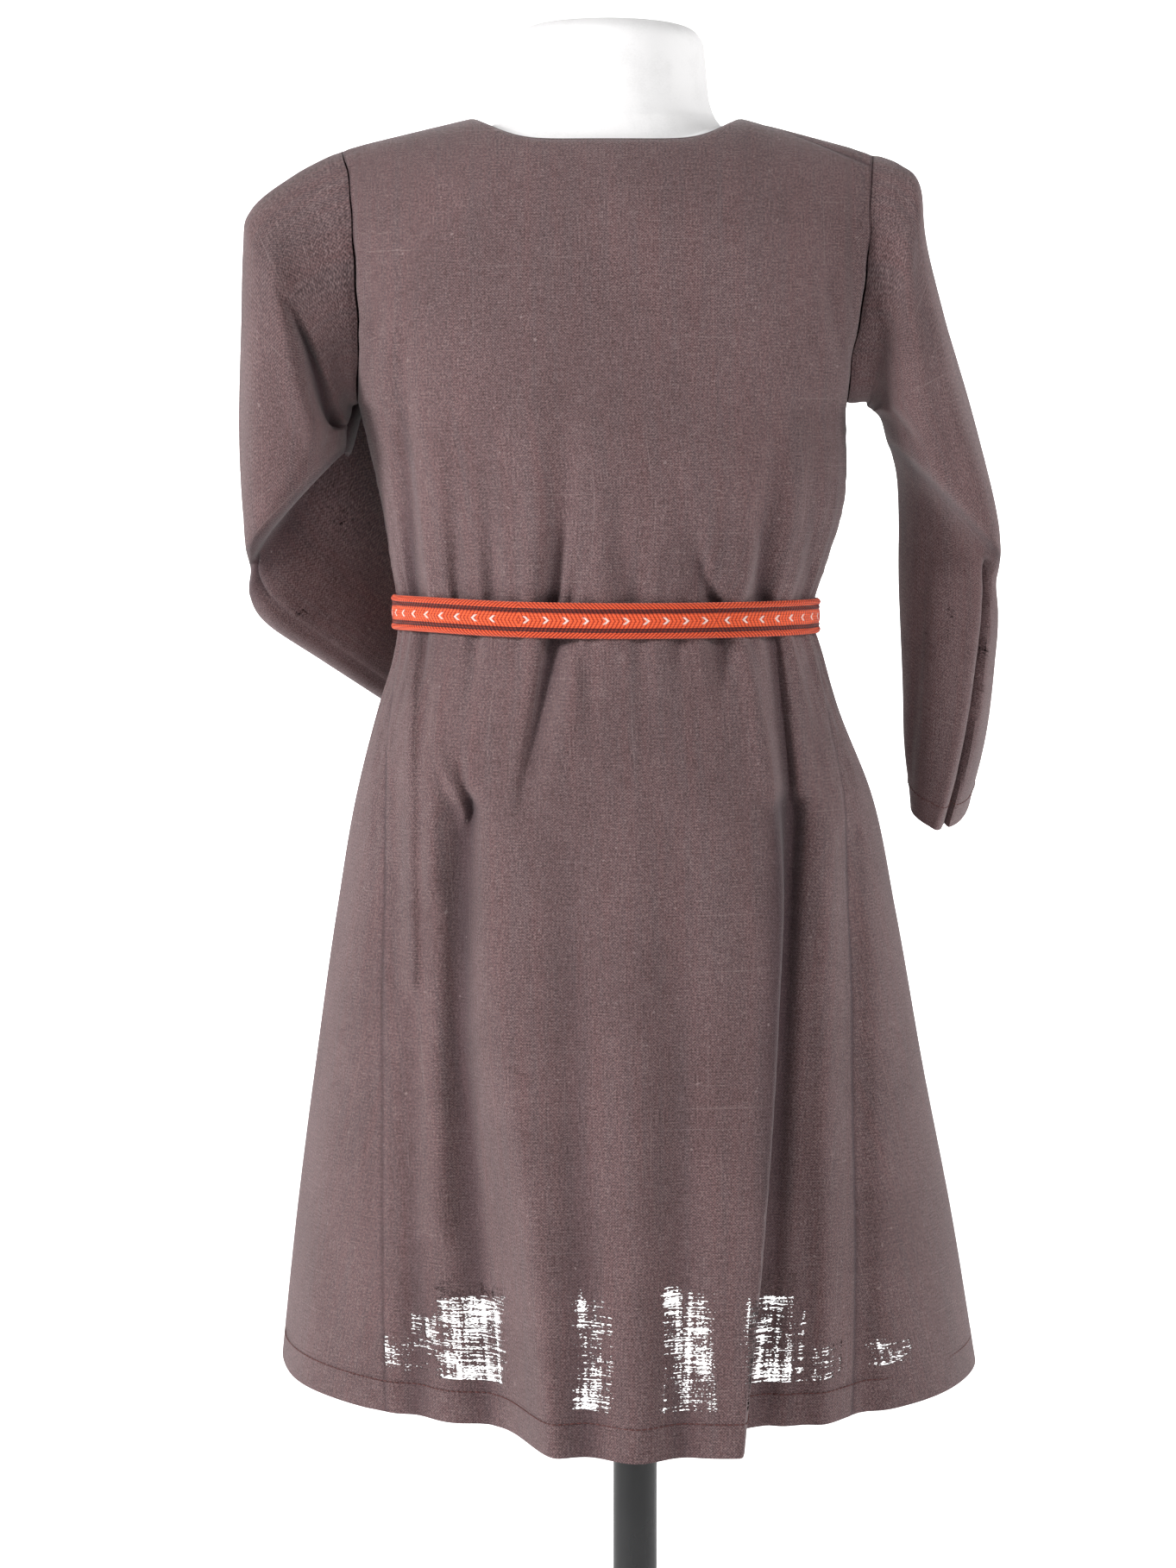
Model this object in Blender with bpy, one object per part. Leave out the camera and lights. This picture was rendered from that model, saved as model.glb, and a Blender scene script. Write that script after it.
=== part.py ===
"""A child's long-sleeved linen dress with a woven belt, on a limbless dress form with a pole stand.

Metres, +Z up. The floor is Z = 0 and the pole stands on X = Y = 0. The dress faces -Y, so its back
faces +Y, and its left-hand side, seen from behind, is +X. Tables are in millimetres.
"""

import math
from collections import namedtuple

import bmesh
import bpy
import numpy as np

MM = 0.001

# Cloth
WALL = 1.5
SEAM_GAP = 0.3
BELT_CLEARANCE = 2.0
UNDERARM_Z = 838.0
GORE_TOP_Z = 716.0
HEM_Z = 320.0
WAIST_Z = 725.0
LOW_LEVELS = ((HEM_Z, 610.0, 10), (610.0, GORE_TOP_Z, 6), (GORE_TOP_Z, 760.0, 3), (760.0, UNDERARM_Z, 4))
HIGH_ROWS = (0.05, 0.14, 0.27, 0.42, 0.58, 0.72, 0.84, 0.93, 0.98, 1.0)
SHOULDER_SQUARE = 0.6
ARMHOLE_HALF_WIDTH = 34.0
ARMHOLE_SQUARE = 2.4
SHOULDER_LIMIT_ANGLE = 150.0
SIDE_ANGLE = 0.01
NO_LIMIT = 400.0
NORMAL_STEP = 0.4
FRONT_NECK_DEPTH_ANGLE, FRONT_NECK_POWER = 30.0, 2.6
BACK_NECK_DEPTH_ANGLE, BACK_NECK_POWER = 58.0, 6.0
SEAM_WRAP_POWER = 0.7
SEAM_WRAP_SPARE = 0.8
FOLD_FADE = 14.0
GORE_FADE = 14.0
GORE_TOP_GAP = 0.5
GORE_EDGE_ANGLE = 0.18
BACK_COLUMNS, FRONT_COLUMNS, GORE_COLUMNS = 37, 27, 7

# Belt
BELT_HEIGHT = 18.5
BELT_THICK = 1.8
BELT_COLUMNS = 56
KNOT_WIDTH, KNOT_HEIGHT, KNOT_DEPTH = 34.0, 26.0, 11.0
KNOT_ROUNDING = 3.5
BeltEnd = namedtuple("BeltEnd", "x_top x_foot length")
BELT_ENDS = (BeltEnd(25.0, 38.0, 210.0), BeltEnd(2.0, -8.0, 192.0))
END_ROWS = 12
END_LIFT = 1.2
END_TOP_LIFT = 4.0
END_REACH = 6.0

# Form and stand
FORM_BOTTOM_Z = 628.0
FORM_CENTRE_X = 11.0
FORM_FOOT_SHARE = 0.955
FORM_COLUMNS = 33
FORM_LOW_ROWS = (FORM_BOTTOM_Z, FORM_BOTTOM_Z + 8.0, 665.0, 700.0, 730.0, 765.0, 800.0, UNDERARM_Z)
FORM_HIGH_ROWS = (0.06, 0.14, 0.26, 0.4, 0.55, 0.7, 0.82, 0.92, 1.0)
ARM_STUMP_BULGE = 3.0
NECK_CENTRE_X = 16.0
POLE_RADIUS, POLE_SIDES = 12.0, 24
BASE_RADIUS, BASE_SIDES = 150.0, 48
BASE_THICK = 9.0
BASE_EDGE, BASE_FOOT_EDGE = 2.5, 1.5
TOUCH = 0.3

# Level sections of the dress, hem to underarm: the two side outlines and the two depths
Section = namedtuple("Section", "z left right back front")
SECTIONS = (
    Section(320, 193.0, -185.2, 155, 150),
    Section(401, 183.4, -171.8, 139, 136),
    Section(481, 172.7, -156.2, 123, 121),
    Section(567, 160.6, -140.7, 107, 106),
    Section(630, 150.0, -127.2, 96, 96),
    Section(678, 137.9, -108.2, 86, 88),
    Section(703, 130.5, -100.8, 80, 83),
    Section(725, 128.0, -95.2, 76, 80),
    Section(751, 131.9, -102.1, 79, 82),
    Section(781, 136.5, -111.0, 82, 84),
    Section(838, 149.0, -112.4, 82, 84),
)

# Shoulder tip, neck point and the level of the middle, from the +X side to the -X side
TIP_LEFT = (156.5, 972.0)
TIP_RIGHT = (-125.0, 970.0)
NECK_LEFT_X, NECK_RIGHT_X = 88.0, -55.0
CREST_Z = 987.0
SEAM_BEHIND_CREST = 26.0

# Armhole seams: their place across the body, by the share of the way from the underarm to the tip
ArmholeSeam = namedtuple("ArmholeSeam", "share left right")
ARMHOLE_SEAMS = (
    ArmholeSeam(0.0, 149.0, -112.4),
    ArmholeSeam(0.15, 147.0, -113.0),
    ArmholeSeam(0.3, 147.0, -116.0),
    ArmholeSeam(0.5, 148.5, -120.5),
    ArmholeSeam(0.85, 151.5, -122.5),
    ArmholeSeam(1.0, 156.5, -125.0),
)

# Gore seams: how far round from the side each one lies, in degrees, at a height
GoreSeam = namedtuple("GoreSeam", "z left_back right_back left_front right_front")
GORE_SEAMS = (
    GoreSeam(320, 48, 53, 47, 50),
    GoreSeam(515, 38, 40, 37, 38),
    GoreSeam(630, 28, 29, 27, 28),
    GoreSeam(716, 9, 9, 9, 9),
)

# Creases: a straight trough from its top to its foot, in x and z, deepening from one to the other
Fold = namedtuple("Fold", "x_top z_top x_foot z_foot width deep_top deep_foot")
BACK_FOLDS = (
    Fold(35, 822, 43, 728, 9, 1, 7),
    Fold(43, 722, 60, 640, 11, 8, 2),
    Fold(-16, 806, -42, 728, 9, 1, 6),
    Fold(-42, 722, -45, 690, 8, 5, 1),
    Fold(-74, 815, -66, 728, 10, 1, 8),
    Fold(118, 850, 116, 728, 8, 1, 5),
    Fold(112, 722, 112, 660, 8, 5, 1),
    Fold(-80, 722, -83, 640, 12, 7, 8),
    Fold(-82, 626, -62, 320, 12, 8, 2),
    Fold(96, 640, 76, 320, 13, 5, 3),
)
FRONT_FOLDS = (
    Fold(60, 815, 52, 728, 9, 1, 6),
    Fold(-30, 815, -22, 728, 9, 1, 6),
    Fold(78, 722, 96, 560, 13, 6, 2),
    Fold(-40, 722, -58, 560, 13, 6, 2),
    Fold(62, 640, 74, 320, 15, 3, 9),
    Fold(-48, 640, -66, 320, 15, 3, 9),
)

# The middle of the back skirt stands proud between two edges, which start at the form's lower edge
Bulge = namedtuple("Bulge", "z left right rise")
BACK_BULGE = (
    Bulge(320, 55, -45, 47),
    Bulge(415, 64, -53, 34),
    Bulge(520, 80, -62, 19),
    Bulge(605, 82, -69, 7),
    Bulge(640, 76, -70, 3),
    Bulge(716, 46, -66, 0),
)
BULGE_EDGE_LEFT, BULGE_EDGE_RIGHT = 15.0, 7.0
FRONT_BULGE = (
    Bulge(320, 62, -54, 16),
    Bulge(520, 60, -50, 8),
    Bulge(640, 56, -44, 0),
)
FRONT_BULGE_EDGE = 18.0

# Sleeve sections: the two ends of the long chord, and half the thickness across it
SleeveSection = namedtuple("SleeveSection", "outer inner half_thick")
SLEEVE_LEFT = (
    SleeveSection((182, -1, 962), (152, 0, 837), 37),
    SleeveSection((205, 0, 942), (153, 0, 834), 41),
    SleeveSection((212, 3, 894), (154, -1, 831), 44),
    SleeveSection((212.5, 4, 838), (155, -2, 828), 45),
    SleeveSection((211, 3, 790), (155, -3, 824), 43),
    SleeveSection((209.5, 0, 764), (155, -5, 817), 41),
    SleeveSection((208, -4, 755), (154, -14, 815), 33),
    SleeveSection((205, -8, 748), (152, -36, 821), 25),
    SleeveSection((203, -10, 732), (146, -58, 829), 23),
    SleeveSection((193, -18, 711), (138, -72, 823), 22),
    SleeveSection((167, -46, 691), (122, -96, 800), 20),
    SleeveSection((128, -94, 664), (96, -128, 756), 17),
)
SLEEVE_RIGHT = (
    SleeveSection((-141, -1, 964), (-122.5, 0, 839), 37),
    SleeveSection((-152, 0, 948), (-124, 0, 837), 41),
    SleeveSection((-159, 3, 905), (-126, -1, 836), 43),
    SleeveSection((-179, 4, 832), (-128, -2, 834), 44),
    SleeveSection((-192, 3, 784), (-131, -3, 830), 41),
    SleeveSection((-195, 0, 762), (-134, -5, 820), 38),
    SleeveSection((-195, -5, 752), (-138, -14, 812), 31),
    SleeveSection((-194, -10, 742), (-142, -24, 798), 27),
    SleeveSection((-196, -16, 726), (-144, -30, 775), 28),
    SleeveSection((-197, -26, 706), (-145, -36, 741), 33),
    SleeveSection((-195, -38, 668), (-149, -46, 690), 36),
    SleeveSection((-191, -46, 640), (-152, -54, 655), 37),
    SleeveSection((-184, -54, 611), (-158, -60, 625), 38),
)
SLEEVE_STEPS = 2
SLEEVE_SIDES = 18
SLEEVE_SQUARE = 2.3
CUFF_TURN_FROM, CUFF_TURN_TO = 0.72, 0.95

# Form: how much smaller than the dress it is at each height, and the neck's rings
FormInset = namedtuple("FormInset", "v inset")
FORM_INSETS = (
    FormInset(620, 12),
    FormInset(725, 15),
    FormInset(800, 11),
    FormInset(838, 8),
    FormInset(868, 6),
    FormInset(900, 4.2),
    FormInset(922, 3.2),
    FormInset(928, 2.7),
)
NeckRing = namedtuple("NeckRing", "z half_width half_depth")
NECK_RINGS = (
    NeckRing(986, 61.0, 50.5),
    NeckRing(993, 56.5, 50.0),
    NeckRing(1003, 53.5, 49.5),
    NeckRing(1020, 52.0, 49.0),
    NeckRing(1033, 50.5, 48.5),
    NeckRing(1039, 45.0, 43.0),
    NeckRing(1041, 34.0, 32.0),
)
FORM_NECK_ANGLE = 61.0
FORM_NECK_HALF = 50.0

# Colours, roughness and metallic value
Finish = namedtuple("Finish", "colour roughness metallic")
LINEN = Finish((0.155, 0.110, 0.100), 0.85, 0.0)
LINEN_FACE = Finish((0.165, 0.117, 0.106), 0.85, 0.0)
WOVEN_ORANGE = Finish((0.85, 0.13, 0.04), 0.8, 0.0)
FORM_WHITE = Finish((0.82, 0.81, 0.79), 0.7, 0.0)
POLE_BLACK = Finish((0.012, 0.012, 0.013), 0.35, 0.3)


def clear_scene():
    for obj in list(bpy.data.objects):
        bpy.data.objects.remove(obj, do_unlink=True)


def make_material(name, finish):
    material = bpy.data.materials.new(name)
    material.use_nodes = True
    shader = material.node_tree.nodes["Principled BSDF"]
    shader.inputs["Base Color"].default_value = (*finish.colour, 1.0)
    shader.inputs["Roughness"].default_value = finish.roughness
    shader.inputs["Metallic"].default_value = finish.metallic
    return material


def smooth_step(low, high, value):
    t = np.clip((np.asarray(value, float) - low) / (high - low), 0.0, 1.0)
    return t * t * (3.0 - 2.0 * t)


def along(table, key, column, at):
    """A column of a table, read on a smooth curve through its rows."""
    keys = np.array([getattr(row, key) for row in table], float)
    values = np.array([getattr(row, column) for row in table], float)
    slopes = np.gradient(values, keys)
    at = np.clip(np.asarray(at, float), keys[0], keys[-1])
    i = np.clip(np.searchsorted(keys, at, side="right") - 1, 0, len(keys) - 2)
    span = keys[i + 1] - keys[i]
    t = (at - keys[i]) / span
    return (
        (2 * t**3 - 3 * t**2 + 1) * values[i]
        + (t**3 - 2 * t**2 + t) * span * slopes[i]
        + (-2 * t**3 + 3 * t**2) * values[i + 1]
        + (t**3 - t**2) * span * slopes[i + 1]
    )


def crest_height(x):
    """The shoulder line: from each tip up to the neck, and level across it."""
    tip_right_x, tip_right_z = TIP_RIGHT
    tip_left_x, tip_left_z = TIP_LEFT
    return np.interp(
        x,
        (tip_right_x, NECK_RIGHT_X, NECK_LEFT_X, tip_left_x),
        (tip_right_z, CREST_Z, CREST_Z, tip_left_z),
    )


def armhole_half_width(z, tip_z, inset=0.0):
    """Half the armhole's width, front to back, at a height."""
    middle = 0.5 * (tip_z + UNDERARM_Z)
    half = 0.5 * (tip_z - UNDERARM_Z)
    across = np.clip(np.abs((z - middle) / half), 0.0, 1.0)
    return (ARMHOLE_HALF_WIDTH - inset) * (1.0 - across**ARMHOLE_SQUARE) ** (1.0 / ARMHOLE_SQUARE)


def armhole_x(z, left):
    """The armhole seam's place across the body at a height."""
    tip_z = TIP_LEFT[1] if left else TIP_RIGHT[1]
    share = (z - UNDERARM_Z) / (tip_z - UNDERARM_Z)
    return along(ARMHOLE_SEAMS, "share", "left" if left else "right", share)


def plain_body(theta, v, inset=0.0):
    """The body without folds. theta is degrees from +X towards +Y. v is the height in millimetres
    up to the underarm, and above it the underarm's height plus degrees over the shoulder."""
    theta = np.asarray(theta, float)
    v = np.asarray(v, float)
    z_low = np.minimum(v, UNDERARM_Z)
    alpha = np.radians(np.clip(v - UNDERARM_Z, 0.0, SHOULDER_LIMIT_ANGLE))
    turn = np.radians(theta)
    left = along(SECTIONS, "z", "left", z_low) - inset
    right = along(SECTIONS, "z", "right", z_low) + inset
    back = along(SECTIONS, "z", "back", z_low) - inset
    front = along(SECTIONS, "z", "front", z_low) - inset
    faces_back = np.sin(turn) >= 0
    depth = np.where(faces_back, back, front)
    low_x = 0.5 * (left + right) + 0.5 * (left - right) * np.cos(turn)
    low_y = depth * np.sin(turn)

    # Over the shoulder: rows from the underarm ring up to the crest
    up = np.sin(alpha) ** SHOULDER_SQUARE
    over = np.abs(np.cos(alpha)) ** SHOULDER_SQUARE
    this_side = np.where(np.cos(alpha) >= 0.0, 1.0, -1.0)
    mix = 0.5 * (1.0 + np.cos(turn))
    tip_z = TIP_RIGHT[1] + mix * (TIP_LEFT[1] - TIP_RIGHT[1])
    edge_z = UNDERARM_Z + (tip_z - inset - UNDERARM_Z) * up
    x_left = armhole_x(edge_z, True) - inset
    x_right = armhole_x(edge_z, False) + inset
    high_x = x_right + mix * (x_left - x_right)
    high_z = UNDERARM_Z + (crest_height(high_x) - inset - UNDERARM_Z) * up
    power = 0.5 + 0.5 * smooth_step(0.0, 35.0, np.degrees(alpha))
    centre = (np.sin(turn) ** 2) ** power
    edge_y = armhole_half_width(edge_z, tip_z - inset, inset)
    high_y = edge_y + (depth * over - edge_y) * centre
    high_y = this_side * np.where(faces_back, high_y, -high_y)

    above = v > UNDERARM_Z
    x = np.where(above, high_x, low_x)
    y = np.where(above, high_y, low_y)
    z = np.where(above, high_z, z_low)
    return np.stack([x, y, z], axis=-1)


def fold_depth(x, z, folds):
    """How far the creases draw the cloth in at a place."""
    total = np.zeros_like(x)
    for fold in folds:
        t = np.clip((fold.z_top - z) / (fold.z_top - fold.z_foot), 0.0, 1.0)
        path = fold.x_top + t * (fold.x_foot - fold.x_top)
        depth = fold.deep_top + t * (fold.deep_foot - fold.deep_top)
        past = smooth_step(fold.z_foot - FOLD_FADE, fold.z_foot, z) if fold.z_foot > HEM_Z else 1.0
        ends = past * (1.0 - smooth_step(fold.z_top, fold.z_top + FOLD_FADE, z))
        total = total + depth * ends * np.exp(-(((x - path) / fold.width) ** 2))
    return total


def bulge_height(x, z, bulges, edge_left, edge_right):
    """How far the middle of the skirt stands proud between its two edges."""
    left = along(bulges, "z", "left", z)
    right = along(bulges, "z", "right", z)
    rise = along(bulges, "z", "rise", z) * (z <= bulges[-1].z)
    inside = smooth_step(-edge_left, edge_left, left - x) * smooth_step(-edge_right, edge_right, x - right)
    return rise * inside


def body(theta, v):
    """The dress's outer surface with its folds."""
    points = plain_body(theta, v)
    x, y, z = points[..., 0], points[..., 1], points[..., 2]
    backward = bulge_height(x, z, BACK_BULGE, BULGE_EDGE_LEFT, BULGE_EDGE_RIGHT)
    backward = backward - fold_depth(x, z, BACK_FOLDS)
    forward = bulge_height(x, z, FRONT_BULGE, FRONT_BULGE_EDGE, FRONT_BULGE_EDGE)
    forward = forward - fold_depth(x, z, FRONT_FOLDS)
    facing = smooth_step(0.0, 0.6, np.abs(np.sin(np.radians(theta))))
    moved = np.where(y >= 0, backward, -forward) * facing
    return np.stack([x, y + moved, z], axis=-1)


def body_normals(theta, v, surface=body, theta_low=-NO_LIMIT, theta_high=NO_LIMIT):
    """Outward normals, from small steps along the surface."""
    ahead = np.minimum(theta + NORMAL_STEP, theta_high)
    behind = np.maximum(theta - NORMAL_STEP, theta_low)
    across = surface(ahead, v) - surface(behind, v)
    upward = surface(theta, v + NORMAL_STEP) - surface(theta, v - NORMAL_STEP)
    normals = np.cross(across, upward)
    return normals / np.maximum(np.linalg.norm(normals, axis=-1, keepdims=True), 1e-9)


def new_object(name, vertices, faces, material):
    mesh = bpy.data.meshes.new(name)
    mesh.from_pydata([tuple(float(c) * MM for c in point) for point in vertices], [], faces)
    mesh.materials.append(material)
    work = bmesh.new()
    work.from_mesh(mesh)
    bmesh.ops.remove_doubles(work, verts=work.verts, dist=0.02 * MM)
    bmesh.ops.recalc_face_normals(work, faces=work.faces)
    work.to_mesh(mesh)
    work.free()
    mesh.shade_smooth()
    mesh.set_sharp_from_angle(angle=math.radians(40.0))
    obj = bpy.data.objects.new(name, mesh)
    bpy.context.scene.collection.objects.link(obj)
    return obj


def shell_faces(rows, columns, closed):
    """Faces of a wall: an outer grid, then an inner grid of the same size, joined at their edges."""
    layer = rows * columns
    faces = []
    last = columns if closed else columns - 1
    for r in range(rows - 1):
        for c in range(last):
            a = r * columns + c
            b = r * columns + (c + 1) % columns
            up = columns
            faces.append((a, b, b + up, a + up))
            faces.append((layer + a + up, layer + b + up, layer + b, layer + a))
    for r in (0, rows - 1):
        for c in range(last):
            a = r * columns + c
            b = r * columns + (c + 1) % columns
            faces.append((a, b, layer + b, layer + a))
    if not closed:
        for r in range(rows - 1):
            for c in (0, columns - 1):
                a = r * columns + c
                faces.append((a, a + columns, layer + a + columns, layer + a))
    return faces


def make_shell(name, outer, inner, material, closed=False):
    rows, columns = outer.shape[:2]
    vertices = np.concatenate([outer.reshape(-1, 3), inner.reshape(-1, 3)])
    return new_object(name, vertices, shell_faces(rows, columns, closed), material)


def heights(levels):
    """Row values from (first, last, count) spans, each without its last row but the final one."""
    values = []
    for first, last, count in levels:
        values.extend(np.linspace(first, last, count, endpoint=False))
    values.append(levels[-1][1])
    return np.array(values)


def top_angle(theta, front):
    """How far over the shoulder a panel's top edge lies, for each column."""
    mix = 0.5 * (1.0 + np.cos(np.radians(theta)))
    x = TIP_RIGHT[0] + mix * (TIP_LEFT[0] - TIP_RIGHT[0])
    centre = 0.5 * (NECK_LEFT_X + NECK_RIGHT_X)
    half = 0.5 * (NECK_LEFT_X - NECK_RIGHT_X)
    across = np.clip(np.abs((x - centre) / half), 0.0, 1.0)
    if front:
        neck = FRONT_NECK_DEPTH_ANGLE + (90.0 - FRONT_NECK_DEPTH_ANGLE) * across**FRONT_NECK_POWER
    else:
        neck = BACK_NECK_DEPTH_ANGLE + (90.0 - BACK_NECK_DEPTH_ANGLE) * across**BACK_NECK_POWER
    # On the -X side the shoulder seam lies behind the crest, because the front panel wraps over it
    past_neck = np.clip((NECK_RIGHT_X - x) / (NECK_RIGHT_X - TIP_RIGHT[0]), 0.0, 1.0)
    seam = 90.0 + (SEAM_BEHIND_CREST if front else -SEAM_BEHIND_CREST) * past_neck**SEAM_WRAP_POWER
    return np.where(across < 1.0, neck, seam)


def panel_grid(front, columns):
    """theta and v of each point of the back or the front panel."""
    z_rows = heights(LOW_LEVELS)
    steps = np.linspace(0.0, 1.0, columns)
    thetas, vs = [], []
    for z in z_rows:
        if z < GORE_TOP_Z:
            left = along(GORE_SEAMS, "z", "left_front" if front else "left_back", z)
            right = along(GORE_SEAMS, "z", "right_front" if front else "right_back", z)
        else:
            fade = 1.0 - smooth_step(GORE_TOP_Z, GORE_TOP_Z + GORE_FADE, z)
            left = fade * GORE_SEAMS[-1].left_back
            right = fade * GORE_SEAMS[-1].right_back
        thetas.append(left + steps * (180.0 - right - left))
        vs.append(np.full(columns, z))
    theta_top = 180.0 * steps
    limit = top_angle(theta_top, front)
    for t in HIGH_ROWS:
        thetas.append(theta_top)
        vs.append(UNDERARM_Z + limit * t)
    theta = np.array(thetas)
    if front:
        theta = -np.clip(theta, SIDE_ANGLE, 180.0 - SIDE_ANGLE)
    return theta, np.array(vs)


def make_panel(name, front, columns, material):
    theta, v = panel_grid(front, columns)
    outer = body(theta, v)
    above = v > UNDERARM_Z
    low = np.where(above, (SIDE_ANGLE - 180.0 if front else 0.0), -NO_LIMIT)
    high = np.where(above, (-SIDE_ANGLE if front else 180.0), NO_LIMIT)
    normals = body_normals(theta, v, body, low, high)
    inner = outer - WALL * normals
    side = -1.0 if front else 1.0
    for grid in (outer, inner):
        # Each edge keeps half a seam's gap to its neighbour
        at_shoulder = (outer[-1, :, 0] > NECK_LEFT_X - 1.0) | (outer[-1, :, 0] < NECK_RIGHT_X + 1.0)
        behind = outer[-1, :, 0] < NECK_RIGHT_X
        grid[-1, at_shoulder, 1] += side * 0.5 * SEAM_GAP
        grid[-1, behind, 1] += side * SEAM_WRAP_SPARE * SEAM_GAP
        for column, sign in ((0, -1.0), (-1, 1.0)):
            grid[:, column, 0] += sign * 0.5 * SEAM_GAP
            plain = ~above[:, column] & (v[:, column] >= GORE_TOP_Z)
            edge_y = grid[:, column, 1]
            edge_y[plain] = side * np.maximum(side * edge_y[plain], 0.5 * SEAM_GAP)
    return make_shell(name, outer, inner, material)


def make_gore(name, left, material):
    """A gore from the waist to the hem, between the back and the front panel's edges."""
    z_rows = heights(LOW_LEVELS)
    z_rows = z_rows[z_rows <= GORE_TOP_Z]
    z_rows[-1] = GORE_TOP_Z - GORE_TOP_GAP
    steps = np.linspace(0.0, 1.0, GORE_COLUMNS)
    thetas, vs = [], []
    for z in z_rows:
        back = along(GORE_SEAMS, "z", "left_back" if left else "right_back", z)
        front = along(GORE_SEAMS, "z", "left_front" if left else "right_front", z)
        turn = back - GORE_EDGE_ANGLE - steps * (front + back - 2.0 * GORE_EDGE_ANGLE)
        thetas.append(turn if left else 180.0 - turn)
        vs.append(np.full(GORE_COLUMNS, z))
    theta, v = np.array(thetas), np.array(vs)
    outer = body(theta, v)
    inner = outer - WALL * body_normals(theta, v)
    return make_shell(name, outer, inner, material)


def superellipse(turn, square):
    """Unit superellipse at an angle."""
    c, s = np.cos(turn), np.sin(turn)
    power = 2.0 / square
    return np.sign(c) * np.abs(c) ** power, np.sign(s) * np.abs(s) ** power


def catmull(points, steps):
    """Points on a smooth curve through the given ones."""
    points = np.asarray(points, float)
    padded = np.concatenate([[2 * points[0] - points[1]], points, [2 * points[-1] - points[-2]]])
    out = []
    for i in range(len(points) - 1):
        a, b, c, d = padded[i : i + 4]
        for t in np.linspace(0.0, 1.0, steps, endpoint=False):
            out.append(
                0.5
                * (2 * b + (c - a) * t + (2 * a - 5 * b + 4 * c - d) * t**2 + (3 * b - a - 3 * c + d) * t**3)
            )
    out.append(points[-1])
    return np.array(out)


def armhole_ring(left, turns, inset=0.0):
    """The armhole's seam line, moved out by the seam's gap."""
    tip_z = TIP_LEFT[1] if left else TIP_RIGHT[1]
    square_x, square_y = superellipse(turns, ARMHOLE_SQUARE)
    middle, half = 0.5 * (tip_z + UNDERARM_Z), 0.5 * (tip_z - UNDERARM_Z)
    z = middle + (half - inset) * square_x
    y = (ARMHOLE_HALF_WIDTH - inset) * square_y
    side = 1.0 if left else -1.0
    x = armhole_x(z, left) + side * SEAM_GAP
    return np.stack([x, y, z], axis=-1)


def sleeve_rings(sections, left, inset=0.0):
    """Rings of a sleeve's wall, from the armhole to the cuff. Each is thick front to back, square to
    its chord, and towards the cuff it turns square to the sleeve's path."""
    turns = np.linspace(0.0, 2.0 * math.pi, SLEEVE_SIDES, endpoint=False)
    tip_z = TIP_LEFT[1] if left else TIP_RIGHT[1]
    top = (armhole_x(tip_z, left), 0.0, tip_z)
    foot = (armhole_x(UNDERARM_Z, left), 0.0, UNDERARM_Z)
    sections = (SleeveSection(top, foot, ARMHOLE_HALF_WIDTH),) + tuple(sections)
    outer = catmull([s.outer for s in sections], SLEEVE_STEPS)
    inner = catmull([s.inner for s in sections], SLEEVE_STEPS)
    thick = catmull([[s.half_thick] for s in sections], SLEEVE_STEPS)[:, 0]
    centre = 0.5 * (outer + inner)
    chord = 0.5 * (outer - inner)
    path = np.gradient(centre, axis=0)
    backward = np.array([0.0, 1.0, 0.0])
    side = 1.0 if left else -1.0
    square_x, square_y = superellipse(turns, SLEEVE_SQUARE)
    rings = []
    for i in range(len(centre)):
        length = np.linalg.norm(chord[i])
        direction = chord[i] / length
        level = backward - backward.dot(direction) * direction
        square = side * np.cross(direction, path[i])
        square = square / np.linalg.norm(square)
        turned = smooth_step(CUFF_TURN_FROM, CUFF_TURN_TO, i / (len(centre) - 1))
        across = level / np.linalg.norm(level) * (1.0 - turned) + square * turned
        across = across / np.linalg.norm(across)
        rings.append(
            centre[i]
            + np.outer(square_x, direction) * (length - inset)
            + np.outer(square_y, across) * (thick[i] - inset)
        )
    rings[0] = armhole_ring(left, turns, inset)
    return np.array(rings)


def make_sleeve(name, sections, left, material):
    outer = sleeve_rings(sections, left)
    inner = sleeve_rings(sections, left, WALL)
    return make_shell(name, outer, inner, material, closed=True)


def make_belt(material):
    """The belt's band, made from the dress's points at the waist, smoothed and moved out."""
    theta = np.linspace(0.0, 360.0, BELT_COLUMNS, endpoint=False)
    rows = (WAIST_Z - 0.5 * BELT_HEIGHT, WAIST_Z, WAIST_Z + 0.5 * BELT_HEIGHT)
    thetas = np.array([theta] * 3)
    vs = np.array([np.full(BELT_COLUMNS, z) for z in rows])
    plain = plain_body(thetas, vs)
    plain[:, :, :2] = plain[1, :, :2]
    normals = body_normals(thetas, np.full_like(vs, WAIST_Z), plain_body)
    normals[..., 2] = 0.0
    normals /= np.linalg.norm(normals, axis=-1, keepdims=True)
    near = plain + normals * BELT_CLEARANCE
    far = near + normals * BELT_THICK
    return make_shell("belt_band", far, near, material, closed=True)


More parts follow.
